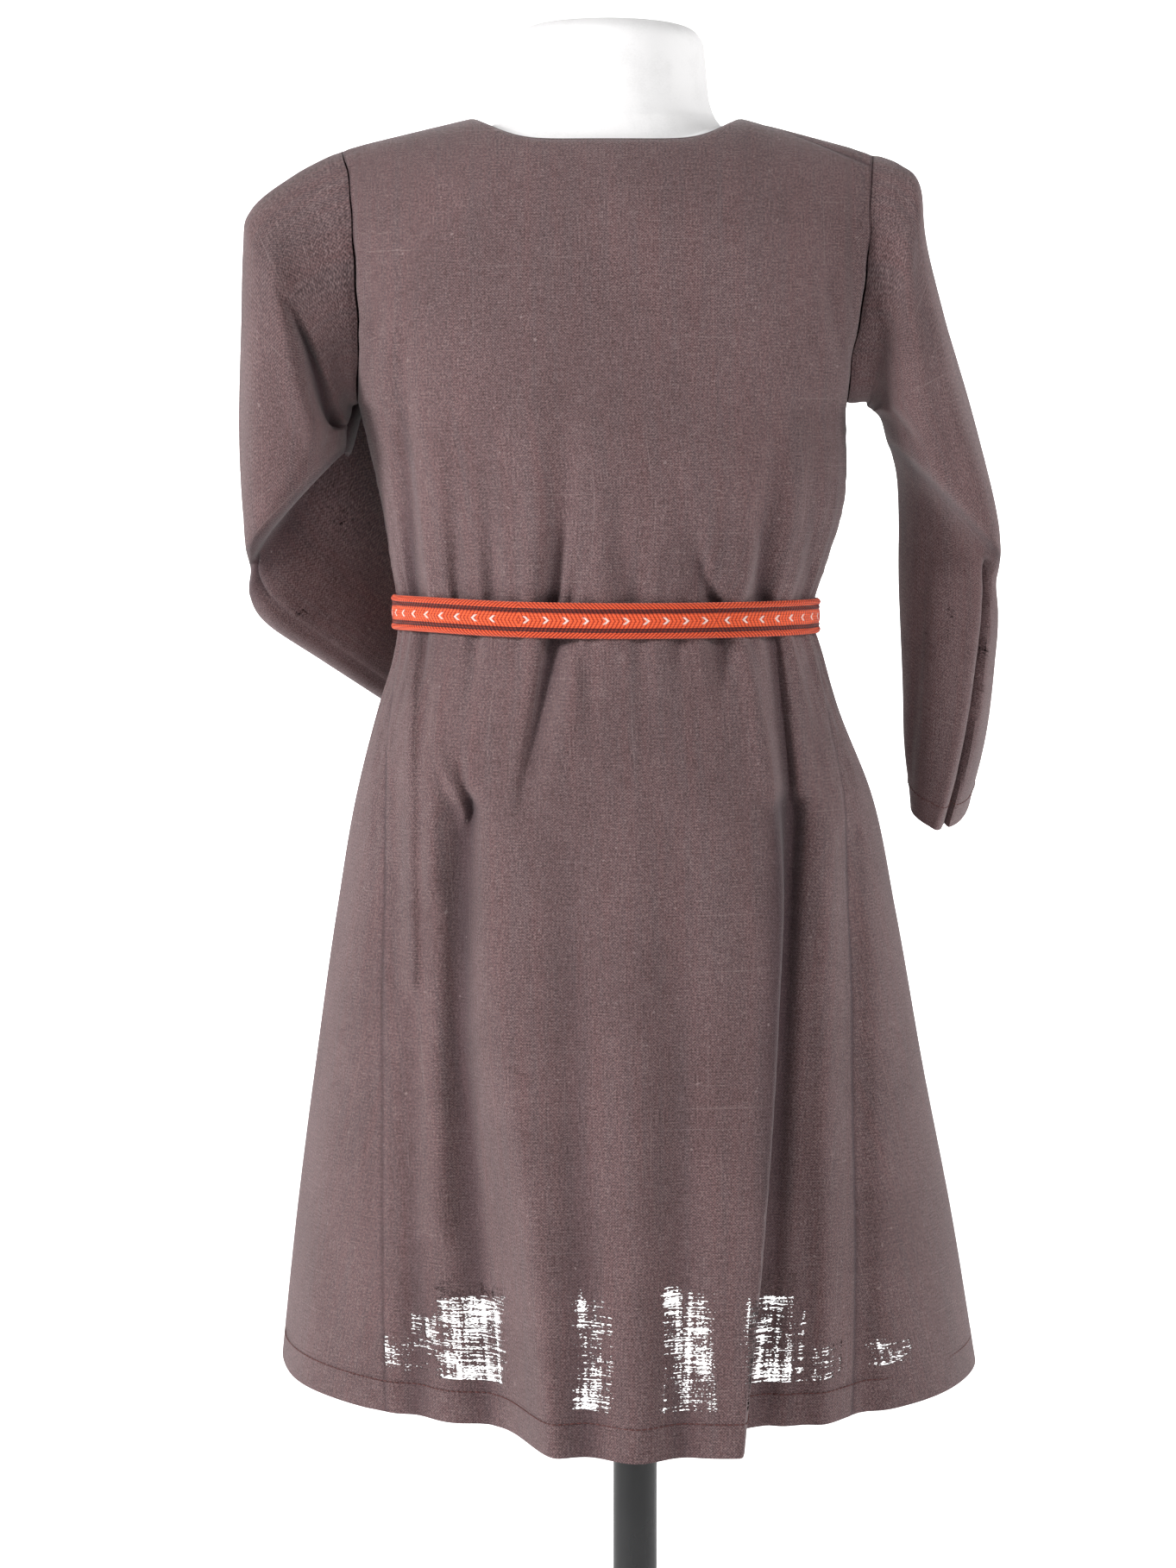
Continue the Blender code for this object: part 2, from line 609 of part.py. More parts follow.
def make_knot(material):
    """The flat knot in front: a rounded block on the band."""
    centre = plain_body(-90.0, WAIST_Z)
    mesh = bpy.data.meshes.new("belt_knot")
    work = bmesh.new()
    bmesh.ops.create_cube(work, size=1.0)
    bmesh.ops.scale(work, vec=(KNOT_WIDTH * MM, KNOT_DEPTH * MM, KNOT_HEIGHT * MM), verts=work.verts)
    bmesh.ops.bevel(work, geom=work.edges[:], offset=KNOT_ROUNDING * MM, segments=2, affect="EDGES", profile=0.6)
    work.to_mesh(mesh)
    work.free()
    mesh.materials.append(material)
    mesh.shade_smooth()
    obj = bpy.data.objects.new("belt_knot", mesh)
    face = BELT_CLEARANCE + BELT_THICK + TOUCH
    obj.location = (
        centre[0] * MM,
        (centre[1] - face - 0.5 * KNOT_DEPTH) * MM,
        centre[2] * MM,
    )
    bpy.context.scene.collection.objects.link(obj)
    return obj


def make_belt_end(name, end, material):
    """A free end of the belt, lying on the front of the skirt below the knot."""
    z_top = WAIST_Z - 0.5 * KNOT_HEIGHT - TOUCH
    z_rows = np.linspace(z_top, z_top - end.length, END_ROWS)
    near, far = [], []
    for z in z_rows:
        t = (z_top - z) / end.length
        x_mid = end.x_top + t * (end.x_foot - end.x_top)
        line_near, line_far = [], []
        for across in (-0.5, 0.0, 0.5):
            x = x_mid + across * BELT_HEIGHT
            lift = END_LIFT + END_TOP_LIFT * (1.0 - smooth_step(0.0, 0.2, t))
            y = front_reach(x, z) - lift
            line_near.append((x, y, z))
            line_far.append((x, y - BELT_THICK, z))
        near.append(line_near)
        far.append(line_far)
    return make_shell(name, np.array(far), np.array(near), material)


def front_reach(x, z):
    """The foremost y of the dress near a place on its front."""
    theta = np.linspace(-150.0, -30.0, 241)
    points = body(theta, np.full_like(theta, z))
    near = np.abs(points[:, 0] - x) < END_REACH
    return float(points[near, 1].min())


def form_angle(theta):
    """How far over the shoulder the form's surface runs before its neck, for each column."""
    mix = 0.5 * (1.0 + np.cos(np.radians(theta)))
    x = TIP_RIGHT[0] + mix * (TIP_LEFT[0] - TIP_RIGHT[0])
    across = np.clip(np.abs((x - NECK_CENTRE_X) / FORM_NECK_HALF), 0.0, 1.0)
    return np.where(across < 1.0, FORM_NECK_ANGLE + (90.0 - FORM_NECK_ANGLE) * across**4, 90.0)


def form_half(front):
    """One half of the form's skin: rows from its lower edge up to the shoulder line and the neck."""
    theta = np.linspace(0.0, 180.0, FORM_COLUMNS)
    limit = form_angle(theta)
    rows = [np.full(FORM_COLUMNS, z) for z in FORM_LOW_ROWS]
    rows += [UNDERARM_Z + limit * t for t in FORM_HIGH_ROWS]
    turned = -theta if front else theta
    grid = []
    for v in rows:
        inset = along(FORM_INSETS, "v", "inset", v)
        grid.append(plain_body(turned, v, inset))
    return np.array(grid), limit


def make_form(material):
    """The limbless form: two halves welded at the sides and shoulders, with a neck and a flat foot."""
    back, limit = form_half(False)
    front, _ = form_half(True)
    middle = np.array((FORM_CENTRE_X, 0.0, FORM_BOTTOM_Z))
    for half in (back, front):
        half[0] = middle + (half[0] - middle) * FORM_FOOT_SHARE
    vertices, faces = [], []

    def add_grid(grid):
        start = len(vertices)
        vertices.extend(grid.reshape(-1, 3))
        rows, width = grid.shape[:2]
        for r in range(rows - 1):
            for c in range(width - 1):
                a = start + r * width + c
                faces.append((a, a + 1, a + 1 + width, a + width))

    add_grid(back)
    add_grid(front)
    low = len(FORM_LOW_ROWS)
    for column, side in ((0, 1.0), (-1, -1.0)):
        edge_back = back[low - 1 :, column]
        edge_front = front[low - 1 :, column]
        bulge = 0.5 * (edge_back + edge_front)
        width = np.abs(edge_back[:, 1] - edge_front[:, 1]) / (2 * ARMHOLE_HALF_WIDTH)
        bulge[:, 0] += side * ARM_STUMP_BULGE * width
        add_grid(np.stack([edge_back, bulge, edge_front], axis=1))

    # The neck rises from the loop that the two halves leave open
    neck = np.where(limit < 90.0)[0]
    first, last = neck[0] - 1, neck[-1] + 1
    loop = [back[-1, c] for c in range(first, last + 1)]
    loop += [front[-1, c] for c in range(last - 1, first, -1)]
    loop = np.array(loop)
    turns = np.arctan2(loop[:, 1], loop[:, 0] - NECK_CENTRE_X)
    rings = [loop]
    for ring in NECK_RINGS:
        x = NECK_CENTRE_X + ring.half_width * np.cos(turns)
        y = ring.half_depth * np.sin(turns)
        rings.append(np.stack([x, y, np.full_like(x, ring.z)], axis=-1))
    closed = np.array([np.concatenate([ring, ring[:1]]) for ring in rings])
    add_grid(closed)
    top = rings[-1]
    cap = len(vertices)
    vertices.append(top.mean(axis=0))
    vertices.extend(top)
    count = len(top)
    for i in range(count):
        faces.append((cap, cap + 1 + i, cap + 1 + (i + 1) % count))

    # Flat foot
    foot = len(vertices)
    rim = list(back[0]) + list(front[0][::-1][1:-1])
    vertices.append(middle)
    vertices.extend(rim)
    count = len(rim)
    for i in range(count):
        faces.append((foot, foot + 1 + i, foot + 1 + (i + 1) % count))
    return new_object("form_torso", vertices, faces, material)


def make_turned(name, profile, sides, material):
    """A solid turned about the pole's axis from a profile of (radius, z), closed on the axis."""
    vertices, faces = [], []
    for radius, z in profile:
        for i in range(sides):
            turn = 2.0 * math.pi * i / sides
            vertices.append((radius * math.cos(turn), radius * math.sin(turn), z))
    for r in range(len(profile) - 1):
        for i in range(sides):
            j = (i + 1) % sides
            faces.append((r * sides + i, r * sides + j, (r + 1) * sides + j, (r + 1) * sides + i))
    faces.append(tuple(range(sides))[::-1])
    faces.append(tuple((len(profile) - 1) * sides + i for i in range(sides)))
    return new_object(name, vertices, faces, material)


def main():
    clear_scene()
    make_panel("back_panel", False, BACK_COLUMNS, make_material("back linen", LINEN))
    make_panel("front_panel", True, FRONT_COLUMNS, make_material("front linen", LINEN))
    make_gore("gore_left", True, make_material("gore linen left", LINEN_FACE))
    make_gore("gore_right", False, make_material("gore linen right", LINEN_FACE))
    make_sleeve("sleeve_left", SLEEVE_LEFT, True, make_material("sleeve linen left", LINEN_FACE))
    make_sleeve("sleeve_right", SLEEVE_RIGHT, False, make_material("sleeve linen right", LINEN_FACE))
    make_belt(make_material("belt weave", WOVEN_ORANGE))
    make_knot(make_material("knot weave", WOVEN_ORANGE))
    make_belt_end("belt_end_a", BELT_ENDS[0], make_material("end weave a", WOVEN_ORANGE))
    make_belt_end("belt_end_b", BELT_ENDS[1], make_material("end weave b", WOVEN_ORANGE))
    make_form(make_material("form cloth", FORM_WHITE))
    pole = ((POLE_RADIUS, BASE_THICK + TOUCH), (POLE_RADIUS, FORM_BOTTOM_Z - TOUCH))
    make_turned("pole", pole, POLE_SIDES, make_material("pole paint", POLE_BLACK))
    base = (
        (BASE_RADIUS - BASE_FOOT_EDGE, 0.0),
        (BASE_RADIUS, BASE_FOOT_EDGE),
        (BASE_RADIUS, BASE_THICK - BASE_EDGE),
        (BASE_RADIUS - BASE_EDGE, BASE_THICK),
    )
    make_turned("base_plate", base, BASE_SIDES, make_material("base paint", POLE_BLACK))


main()
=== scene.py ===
"""The looks of a child's linen dress with a woven belt, on a limbless form with a pole stand.

Metres, +Z up. The dress faces -Y, so the camera stands on the +Y side and looks at its back. Tables of
sizes are in millimetres, as a pattern cutter gives them, and MM turns them into metres.
"""

import logging
import math
from collections.abc import Sequence
from dataclasses import dataclass, field
from enum import Enum
from typing import NamedTuple

import bmesh
import bpy
import numpy as np
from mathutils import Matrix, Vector


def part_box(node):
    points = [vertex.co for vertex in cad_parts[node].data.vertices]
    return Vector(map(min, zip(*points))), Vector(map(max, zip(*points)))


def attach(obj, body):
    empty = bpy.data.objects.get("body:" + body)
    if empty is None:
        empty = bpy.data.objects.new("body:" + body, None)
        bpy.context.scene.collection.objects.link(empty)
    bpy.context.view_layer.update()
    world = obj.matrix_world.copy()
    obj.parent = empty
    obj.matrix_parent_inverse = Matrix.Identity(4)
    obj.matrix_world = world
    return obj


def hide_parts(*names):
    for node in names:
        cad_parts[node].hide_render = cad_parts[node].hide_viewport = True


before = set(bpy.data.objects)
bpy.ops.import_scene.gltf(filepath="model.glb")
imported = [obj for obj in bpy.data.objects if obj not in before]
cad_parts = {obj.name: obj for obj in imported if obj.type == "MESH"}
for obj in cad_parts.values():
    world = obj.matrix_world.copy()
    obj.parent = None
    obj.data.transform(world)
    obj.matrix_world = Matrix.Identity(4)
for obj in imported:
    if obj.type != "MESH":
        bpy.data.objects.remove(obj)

LOG = logging.getLogger("dress")
MM = 0.001
BODY = "root"

# Edges that turn by more than this many degrees look sharp
SHARP_ANGLE = 50.0
# Degrees that a panel stops short of the very side
EDGE_ANGLE = 0.01
# More degrees than any angle round the body
NO_LIMIT = 400.0
# Places along the belt, in metres, past both ends of any short piece of it
NO_TURN = (-1.0, 1.0)

Grid = np.ndarray
Colour = tuple[float, float, float, float]
Socket = bpy.types.NodeSocket
Material = bpy.types.Material
Piece = bpy.types.Object
Triple = tuple[float, float, float]


class Side(Enum):
    """The two faces of the dress: the back faces +Y."""

    BACK = 1.0
    FRONT = -1.0


class Hand(Enum):
    """The two sides, as seen from behind: the left one is +X."""

    LEFT = 1.0
    RIGHT = -1.0


class Section(NamedTuple):
    """A level section of the body: side outlines and depths."""

    z: float
    left: float
    right: float
    back: float
    front: float


class Armhole(NamedTuple):
    """The armhole seams' places, by the share of the way up."""

    share: float
    left: float
    right: float


class GoreSeam(NamedTuple):
    """How far round from the side each gore seam lies, in degrees."""

    z: float
    left_back: float
    right_back: float
    left_front: float
    right_front: float


class Crease(NamedTuple):
    """A straight trough between two places in x and z. A negative depth is a ridge, and a lean above 0
    makes the side towards -x the steeper one."""

    x_top: float
    z_top: float
    x_foot: float
    z_foot: float
    width: float
    deep_top: float
    deep_foot: float
    lean: float = 0.0


class Bulge(NamedTuple):
    """The skirt's proud middle at a height: its edges, its rise and how far its right edge laps over."""

    z: float
    left: float
    right: float
    rise: float
    lap: float


class ThinPlace(NamedTuple):
    """Where the weave runs thin above the hem: its two sides in x, its height over the hem and how thin."""

    left: float
    right: float
    high: float
    share: float


class SleeveSection(NamedTuple):
    """A sleeve's section: the ends of its long chord and half its thickness."""

    outer: Triple
    inner: Triple
    half_thick: float


class SleeveCrease(NamedTuple):
    """A trough on a sleeve, from one place to another: along in shares, round in degrees."""

    start: float
    start_turn: float
    end: float
    end_turn: float
    width: float
    depth: float


class Stitch(NamedTuple):
    """A stitch: its length, the gap to the next one and the thread's radius."""

    length: float
    gap: float
    radius: float


class Lamp(NamedTuple):
    """A soft square light: its place, what it shines at, its side in metres and its watts."""

    name: str
    place: Triple
    aim: Triple
    size: float
    power: float


def smooth_step(low: float, high: float, value: Grid) -> Grid:
    """A soft step from 0 at low to 1 at high.

    Args:
        low: where the step begins.
        high: where it ends.
        value: the places to read it at.

    Returns:
        The step's value at each place.
    """
    t = np.clip((np.asarray(value, float) - low) / (high - low), 0.0, 1.0)
    return t * t * (3.0 - 2.0 * t)


def along(table: Sequence[NamedTuple], key: str, column: str, at: Grid) -> Grid:
    """A column of a table, read on a smooth curve through its rows.

    Args:
        table: rows in rising order of the key.
        key: the column that the places are given in.
        column: the column to read.
        at: the places.

    Returns:
        The column's value at each place.
    """
    keys = np.array([getattr(row, key) for row in table], float)
    values = np.array([getattr(row, column) for row in table], float)
    slopes = np.gradient(values, keys)
    at = np.clip(np.asarray(at, float), keys[0], keys[-1])
    i = np.clip(np.searchsorted(keys, at, side="right") - 1, 0, len(keys) - 2)
    span = keys[i + 1] - keys[i]
    t = (at - keys[i]) / span
    rest = (t**3 - 2 * t**2 + t) * span * slopes[i] + (t**3 - t**2) * span * slopes[i + 1]
    return (2 * t**3 - 3 * t**2 + 1) * values[i] + (3 * t**2 - 2 * t**3) * values[i + 1] + rest


def catmull(points: Sequence, count: int) -> Grid:
    """A smooth curve through points.

    Args:
        points: the points or values to pass through.
        count: how many places to read it at.

    Returns:
        The places, spaced evenly from the first point to the last.
    """
    points = np.asarray(points, float)
    padded = np.concatenate([[2 * points[0] - points[1]], points, [2 * points[-1] - points[-2]]])
    at = np.linspace(0.0, len(points) - 1.0, count)
    i = np.minimum(at.astype(int), len(points) - 2)
    t = (at - i)[:, None]
    a, b, c, d = (padded[i + k] for k in range(4))
    return 0.5 * (2 * b + (c - a) * t + (2 * a - 5 * b + 4 * c - d) * t**2 + (3 * b - a - 3 * c + d) * t**3)


def unit(vectors: Grid) -> Grid:
    """The vectors at length 1."""
    return vectors / np.maximum(np.linalg.norm(vectors, axis=-1, keepdims=True), 1e-9)


def ripple(x: Grid, seed: float) -> Grid:
    """An uneven wave between about -1 and 1, from three waves that don't repeat together."""
    return (np.sin(x + seed) + np.sin(0.618 * x + 2.3 * seed) + np.sin(1.732 * x - 1.1 * seed)) / 2.2


@dataclass
class Cut:
    """The cut of the dress on its form, as one smooth body with folds."""

    underarm_z: float = 838.0
    gore_top_z: float = 716.0
    hem_z: float = 320.0
    waist_z: float = 725.0
    shoulder_square: float = 0.6
    armhole_half: float = 34.0
    armhole_square: float = 2.4
    tip_left: tuple[float, float] = (156.5, 972.0)
    tip_right: tuple[float, float] = (-125.0, 970.0)
    neck_left_x: float = 88.0
    neck_right_x: float = -55.0
    crest_z: float = 987.0
    seam_behind_crest: float = 26.0
    front_neck_angle: float = 30.0
    back_neck_angle: float = 58.0
    sections: tuple[Section, ...] = (
        Section(320, 193.0, -185.2, 155, 150),
        Section(401, 183.4, -171.8, 139, 136),
        Section(481, 172.7, -156.2, 123, 121),
        Section(567, 160.6, -140.7, 107, 106),
        Section(630, 150.0, -127.2, 96, 96),
        Section(678, 137.9, -108.2, 86, 88),
        Section(703, 130.5, -100.8, 80, 83),
        Section(725, 128.0, -95.2, 76, 80),
        Section(751, 131.9, -102.1, 79, 82),
        Section(781, 136.5, -111.0, 82, 84),
        Section(838, 149.0, -112.4, 82, 84),
    )
    armholes: tuple[Armhole, ...] = (
        Armhole(0.0, 149.0, -112.4),
        Armhole(0.15, 147.0, -113.0),
        Armhole(0.3, 147.0, -116.0),
        Armhole(0.5, 148.5, -120.5),
        Armhole(0.85, 151.5, -122.5),
        Armhole(1.0, 156.5, -125.0),
    )
    gore_seams: tuple[GoreSeam, ...] = (
        GoreSeam(320, 48, 53, 47, 50),
        GoreSeam(515, 38, 40, 37, 38),
        GoreSeam(630, 28, 29, 27, 28),
        GoreSeam(716, 9, 9, 9, 9),
    )
    back_folds: tuple[Crease, ...] = (
        # The main groove down to the belt and below it
        Crease(34, 845, 39, 785, 9, 0.6, 4.0, 0.3),
        Crease(39, 771, 44, 732, 5.5, 4.5, 9.5, 0.4),
        Crease(53, 845, 52, 745, 10, -1.0, -3.8),
        Crease(44, 716, 60, 634, 6.5, 9.5, 3.0, -0.45),
        Crease(30, 716, 47, 640, 8, -3.5, -1.5),
        # The second one beside it
        Crease(31, 756, 35, 734, 3.5, 0.5, 4.5),
        Crease(33, 716, 26, 690, 4, 4.5, 0.6),
        # The diagonal one to the right of the middle
        Crease(-14, 812, -32, 762, 8, 0.6, 3.5, 0.3),
        Crease(-32, 750, -43, 732, 5, 4.5, 8.0, 0.3),
        Crease(-20, 790, -50, 732, 9, -0.8, -3.4),
        Crease(-43, 716, -44, 690, 5, 6.5, 0.8),
        Crease(-20, 716, -22, 690, 3.5, 3.5, 0.5),
        # Beside the right armhole and down to the belt
        Crease(-72, 818, -64, 775, 8, 0.8, 4.5, -0.3),
        Crease(-64, 762, -63, 732, 5, 5.5, 10.0, -0.4),
        Crease(-54, 800, -54, 736, 7, -1.0, -3.2),
        Crease(-80, 815, -79, 738, 7, -0.6, -3.5),
        Crease(-95, 838, -90, 732, 4.5, 0.6, 5.0),
        # The left side
        Crease(122, 856, 117, 732, 5.5, 2.5, 9.5, 0.3),
        Crease(106, 845, 104, 736, 9, -1.0, -3.2),
        Crease(96, 812, 94, 732, 5, 0.8, 5.5),
        Crease(78, 796, 76, 732, 5, 0.6, 5.0),
        Crease(66, 790, 64, 734, 6, -0.2, -1.8),
        Crease(8, 790, 5, 732, 6, 0.3, 3.2),
        Crease(20, 800, 23, 736, 7, -0.6, -3.0),
        Crease(112, 716, 111, 655, 5, 6.5, 1.0),
        Crease(120, 706, 117, 540, 4.5, -3.0, -4.5, 0.3),
        Crease(107, 700, 108, 590, 5.5, -2.0, -4.0),
        Crease(126, 640, 128, 500, 7, 2.5, 0.8),
        Crease(86, 716, 88, 672, 6, 3.5, 0.5),
        # The pleat at the right and its groove
        Crease(-72, 716, -79, 640, 6, 7, 8, 0.5),
        Crease(-60, 714, -68, 640, 7, -3.0, -4.5),
        Crease(-80, 626, -64, 330, 10, 12, 5, 0.35),
        Crease(-92, 700, -96, 640, 5, 3.0, 1.0),
        # The pinch at the left and its valley down to the hem
        Crease(102, 650, 90, 627, 3.2, -2.6, -4.2),
        Crease(92, 645, 86, 628, 3.0, 3.0, 4.0),
        Crease(88, 626, 90, 520, 9, 9.0, 8.0, 0.3),
        Crease(90, 506, 77, 330, 10, 8.0, 6.0, 0.3),
        Crease(103, 610, 104, 420, 9, -3.0, -4.0),
        # Long soft falls of the skirt
        Crease(36, 610, 26, 330, 13, 2.5, 7.0),
        Crease(-22, 620, -20, 330, 13, 1.5, 6.0),
        Crease(4, 620, 2, 330, 14, -1.5, -4.5),
        Crease(119, 590, 113, 330, 10, 2.5, 6.0),
        Crease(-98, 610, -94, 330, 8, -3.0, -5.0),
        Crease(-112, 610, -116, 330, 8, 3.5, 5.0),
        # Small ones at the armholes and soft ones across the shoulders
        Crease(-98, 897, -108, 866, 4, 2.0, 3.5, 0.3),
        Crease(-92, 882, -104, 848, 4, -1.5, -2.5),
        Crease(-88, 872, -102, 838, 4, 1.5, 2.5),
        Crease(134, 884, 143, 850, 5.5, 1.5, 3.5),
        Crease(126, 880, 133, 850, 6, -0.8, -1.8),
        Crease(60, 940, 78, 850, 20, 0.8, 1.6),
        Crease(-30, 930, -48, 850, 18, 0.8, 1.6),
        Crease(15, 900, 14, 830, 22, 0.2, 1.0),
    )
    front_folds: tuple[Crease, ...] = (
        Crease(58, 830, 53, 776, 9, 0.6, 4.0, 0.3),
        Crease(53, 764, 51, 732, 5.5, 4.5, 9.0, 0.3),
        Crease(-32, 830, -25, 776, 9, 0.6, 4.0, -0.3),
        Crease(-25, 764, -22, 732, 5.5, 4.5, 9.0, -0.3),
        Crease(97, 815, 90, 732, 5.5, 0.5, 5.5),
        Crease(-68, 815, -62, 732, 5.5, 0.5, 5.5),
        Crease(76, 800, 72, 736, 9, -0.4, -2.4),
        Crease(-48, 800, -44, 736, 9, -0.4, -2.4),
        Crease(112, 830, 110, 734, 6, -0.5, -2.4),
        Crease(78, 716, 94, 570, 9, 7, 3, -0.3),
        Crease(-40, 716, -56, 570, 9, 7, 3, 0.3),
        Crease(44, 714, 38, 640, 5, 5, 0.8),
        Crease(-12, 714, -6, 640, 5, 5, 0.8),
        Crease(100, 714, 106, 620, 6, 4, 1.0),
        Crease(-66, 714, -76, 620, 6, 4, 1.0),
        Crease(66, 640, 76, 330, 13, 3, 8, -0.2),
        Crease(-50, 640, -66, 330, 13, 3, 8, 0.2),
        Crease(8, 600, 5, 330, 15, 0.5, 4.0),
        Crease(38, 600, 40, 330, 14, -0.5, -2.5),
        Crease(-22, 600, -26, 330, 14, -0.5, -2.5),
        Crease(108, 560, 114, 330, 10, -1.0, -3.0),
        Crease(-92, 560, -98, 330, 10, -1.0, -3.0),
        Crease(120, 886, 136, 852, 6, 1.2, 3.2),
        Crease(-86, 886, -101, 850, 6, 1.2, 3.2),
        Crease(72, 900, 80, 840, 18, 0.5, 1.4),
        Crease(-38, 900, -44, 840, 18, 0.5, 1.4),
    )
    back_bulge: tuple[Bulge, ...] = (
        Bulge(320, 55, -45, 47, 8),
        Bulge(415, 64, -53, 34, 11),
        Bulge(520, 80, -62, 19, 11),
        Bulge(605, 82, -69, 7, 7),
        Bulge(640, 76, -70, 3, 2),
        Bulge(716, 46, -66, 0, 0),
    )
    front_bulge: tuple[Bulge, ...] = (
        Bulge(320, 62, -54, 16, 0),
        Bulge(520, 60, -50, 8, 0),
        Bulge(640, 56, -44, 0, 0),
    )
    thin_places: tuple[ThinPlace, ...] = (
        ThinPlace(106, 67, 84, 1.0),
        ThinPlace(118, 98, 64, 0.95),
        ThinPlace(135, 103, 52, 0.85),
        ThinPlace(61, 57, 64, 0.7),
        ThinPlace(50, 36, 86, 0.55),
        ThinPlace(34, 13, 88, 0.95),
        ThinPlace(12, -9, 80, 0.35),
        ThinPlace(-9, -38, 92, 0.95),
        ThinPlace(-50, -80, 88, 1.0),
        ThinPlace(-76, -88, 68, 0.95),
        ThinPlace(-84, -105, 52, 0.9),
        ThinPlace(-112, -144, 46, 0.88),
        ThinPlace(150, 142, 60, 0.5),
    )
    bulge_edge_left: float = 15.0
    bulge_edge_right: float = 4.0
    bulge_edge_front: float = 18.0
    fold_fade: float = 14.0
    belt_press: float = 15.0
    gather_reach: float = 38.0
    gather_depth: float = 1.5
    to_hem_below: float = 340.0
    armhole_wobble: float = 0.6
    armhole_wave: float = 7.0
    armhole_fade: float = 0.1
    thin_edge: tuple[float, float] = (-6.0, 4.0)
    over_shoulder: float = 150.0
    gather_wave: float = 0.55
    lap_offset: float = 3.0
    lap_reach: float = 6.5
    middle_x: float = 8.0
    thin_fade: float = 14.0

    def tip(self, hand: Hand) -> tuple[float, float]:
        """The shoulder tip of one side, in x and z."""
        return self.tip_left if hand is Hand.LEFT else self.tip_right

    def crest(self, x: Grid) -> Grid:
        """The shoulder line's height: level across the neck, falling to each tip."""
        places = (self.tip_right[0], self.neck_right_x, self.neck_left_x, self.tip_left[0])
        return np.interp(x, places, (self.tip_right[1], self.crest_z, self.crest_z, self.tip_left[1]))

    def armhole_width(self, z: Grid, tip_z: Grid, inset: float | Grid = 0.0) -> Grid:
        """Half the armhole's width, front to back.

        Args:
            z: heights.
            tip_z: the height of the armhole's top.
            inset: how much smaller than the cloth.

        Returns:
            The half width at each height.
        """
        middle, half = 0.5 * (tip_z + self.underarm_z), 0.5 * (tip_z - self.underarm_z)
        across = np.clip(np.abs((z - middle) / half), 0.0, 1.0) ** self.armhole_square
        return (self.armhole_half - inset) * (1.0 - across) ** (1.0 / self.armhole_square)

    def armhole_x(self, z: Grid, hand: Hand) -> Grid:
        """The armhole seam's place across the body at a height."""
        share = (z - self.underarm_z) / (self.tip(hand)[1] - self.underarm_z)
        seam = along(self.armholes, "share", "left" if hand is Hand.LEFT else "right", share)
        fade = self.armhole_fade
        inside = smooth_step(0.0, fade, share) * (1.0 - smooth_step(1.0 - fade, 1.0, share))
        return seam + self.armhole_wobble * ripple(z / self.armhole_wave, 5.0 + hand.value) * inside

    def plain(self, theta: Grid, v: Grid, inset: float | Grid = 0.0) -> Grid:
        """The body without folds.

        Args:
            theta: degrees round from +X towards +Y.
            v: height up to the underarm, and past it the underarm's height plus degrees over the shoulder.
            inset: how much smaller than the cloth.

        Returns:
            Points in millimetres.
        """
        theta, v = np.asarray(theta, float), np.asarray(v, float)
        z_low = np.minimum(v, self.underarm_z)
        alpha = np.radians(np.clip(v - self.underarm_z, 0.0, self.over_shoulder))
        turn = np.radians(theta)
        left = along(self.sections, "z", "left", z_low) - inset
        right = along(self.sections, "z", "right", z_low) + inset
        back = along(self.sections, "z", "back", z_low) - inset
        front = along(self.sections, "z", "front", z_low) - inset
        faces_back = np.sin(turn) >= 0
        depth = np.where(faces_back, back, front)
        mix = 0.5 * (1.0 + np.cos(turn))
        low_x = right + (left - right) * mix
        low_y = depth * np.sin(turn)
        up = np.abs(np.sin(alpha)) ** self.shoulder_square
        over = np.abs(np.cos(alpha)) ** self.shoulder_square
        this_side = np.where(np.cos(alpha) >= 0.0, 1.0, -1.0)
        tip_z = self.tip_right[1] + mix * (self.tip_left[1] - self.tip_right[1])
        edge_z = self.underarm_z + (tip_z - inset - self.underarm_z) * up
        x_left = self.armhole_x(edge_z, Hand.LEFT) - inset
        x_right = self.armhole_x(edge_z, Hand.RIGHT) + inset
        high_x = x_right + mix * (x_left - x_right)
        high_z = self.underarm_z + (self.crest(high_x) - inset - self.underarm_z) * up
        power = 0.5 + 0.5 * smooth_step(0.0, 35.0, np.degrees(alpha))
        edge_y = self.armhole_width(edge_z, tip_z - inset, inset)
        high_y = edge_y + (depth * over - edge_y) * (np.sin(turn) ** 2) ** power
        high_y = this_side * np.where(faces_back, high_y, -high_y)
        above = v > self.underarm_z
        x = np.where(above, high_x, low_x)
        y = np.where(above, high_y, low_y)
        return np.stack([x, y, np.where(above, high_z, z_low)], axis=-1)

    def crease_depth(self, x: Grid, z: Grid, folds: Sequence[Crease]) -> Grid:
        """How far the creases draw the cloth in.

        Args:
            x: places across.
            z: heights.
            folds: the creases.

        Returns:
            The depth at each place.
        """
        total = np.zeros_like(x)
        for fold in folds:
            t = np.clip((fold.z_top - z) / (fold.z_top - fold.z_foot), 0.0, 1.0)
            path = fold.x_top + t * (fold.x_foot - fold.x_top)
            depth = fold.deep_top + t * (fold.deep_foot - fold.deep_top)
            stops = fold.z_foot > self.to_hem_below
            past = smooth_step(fold.z_foot - self.fold_fade, fold.z_foot, z) if stops else 1.0
            ends = past * (1.0 - smooth_step(fold.z_top, fold.z_top + self.fold_fade, z))
            width = fold.width * np.where(x < path, 1.0 - fold.lean, 1.0 + fold.lean)
            total = total + depth * ends * np.exp(-(((x - path) / width) ** 2))
        return total

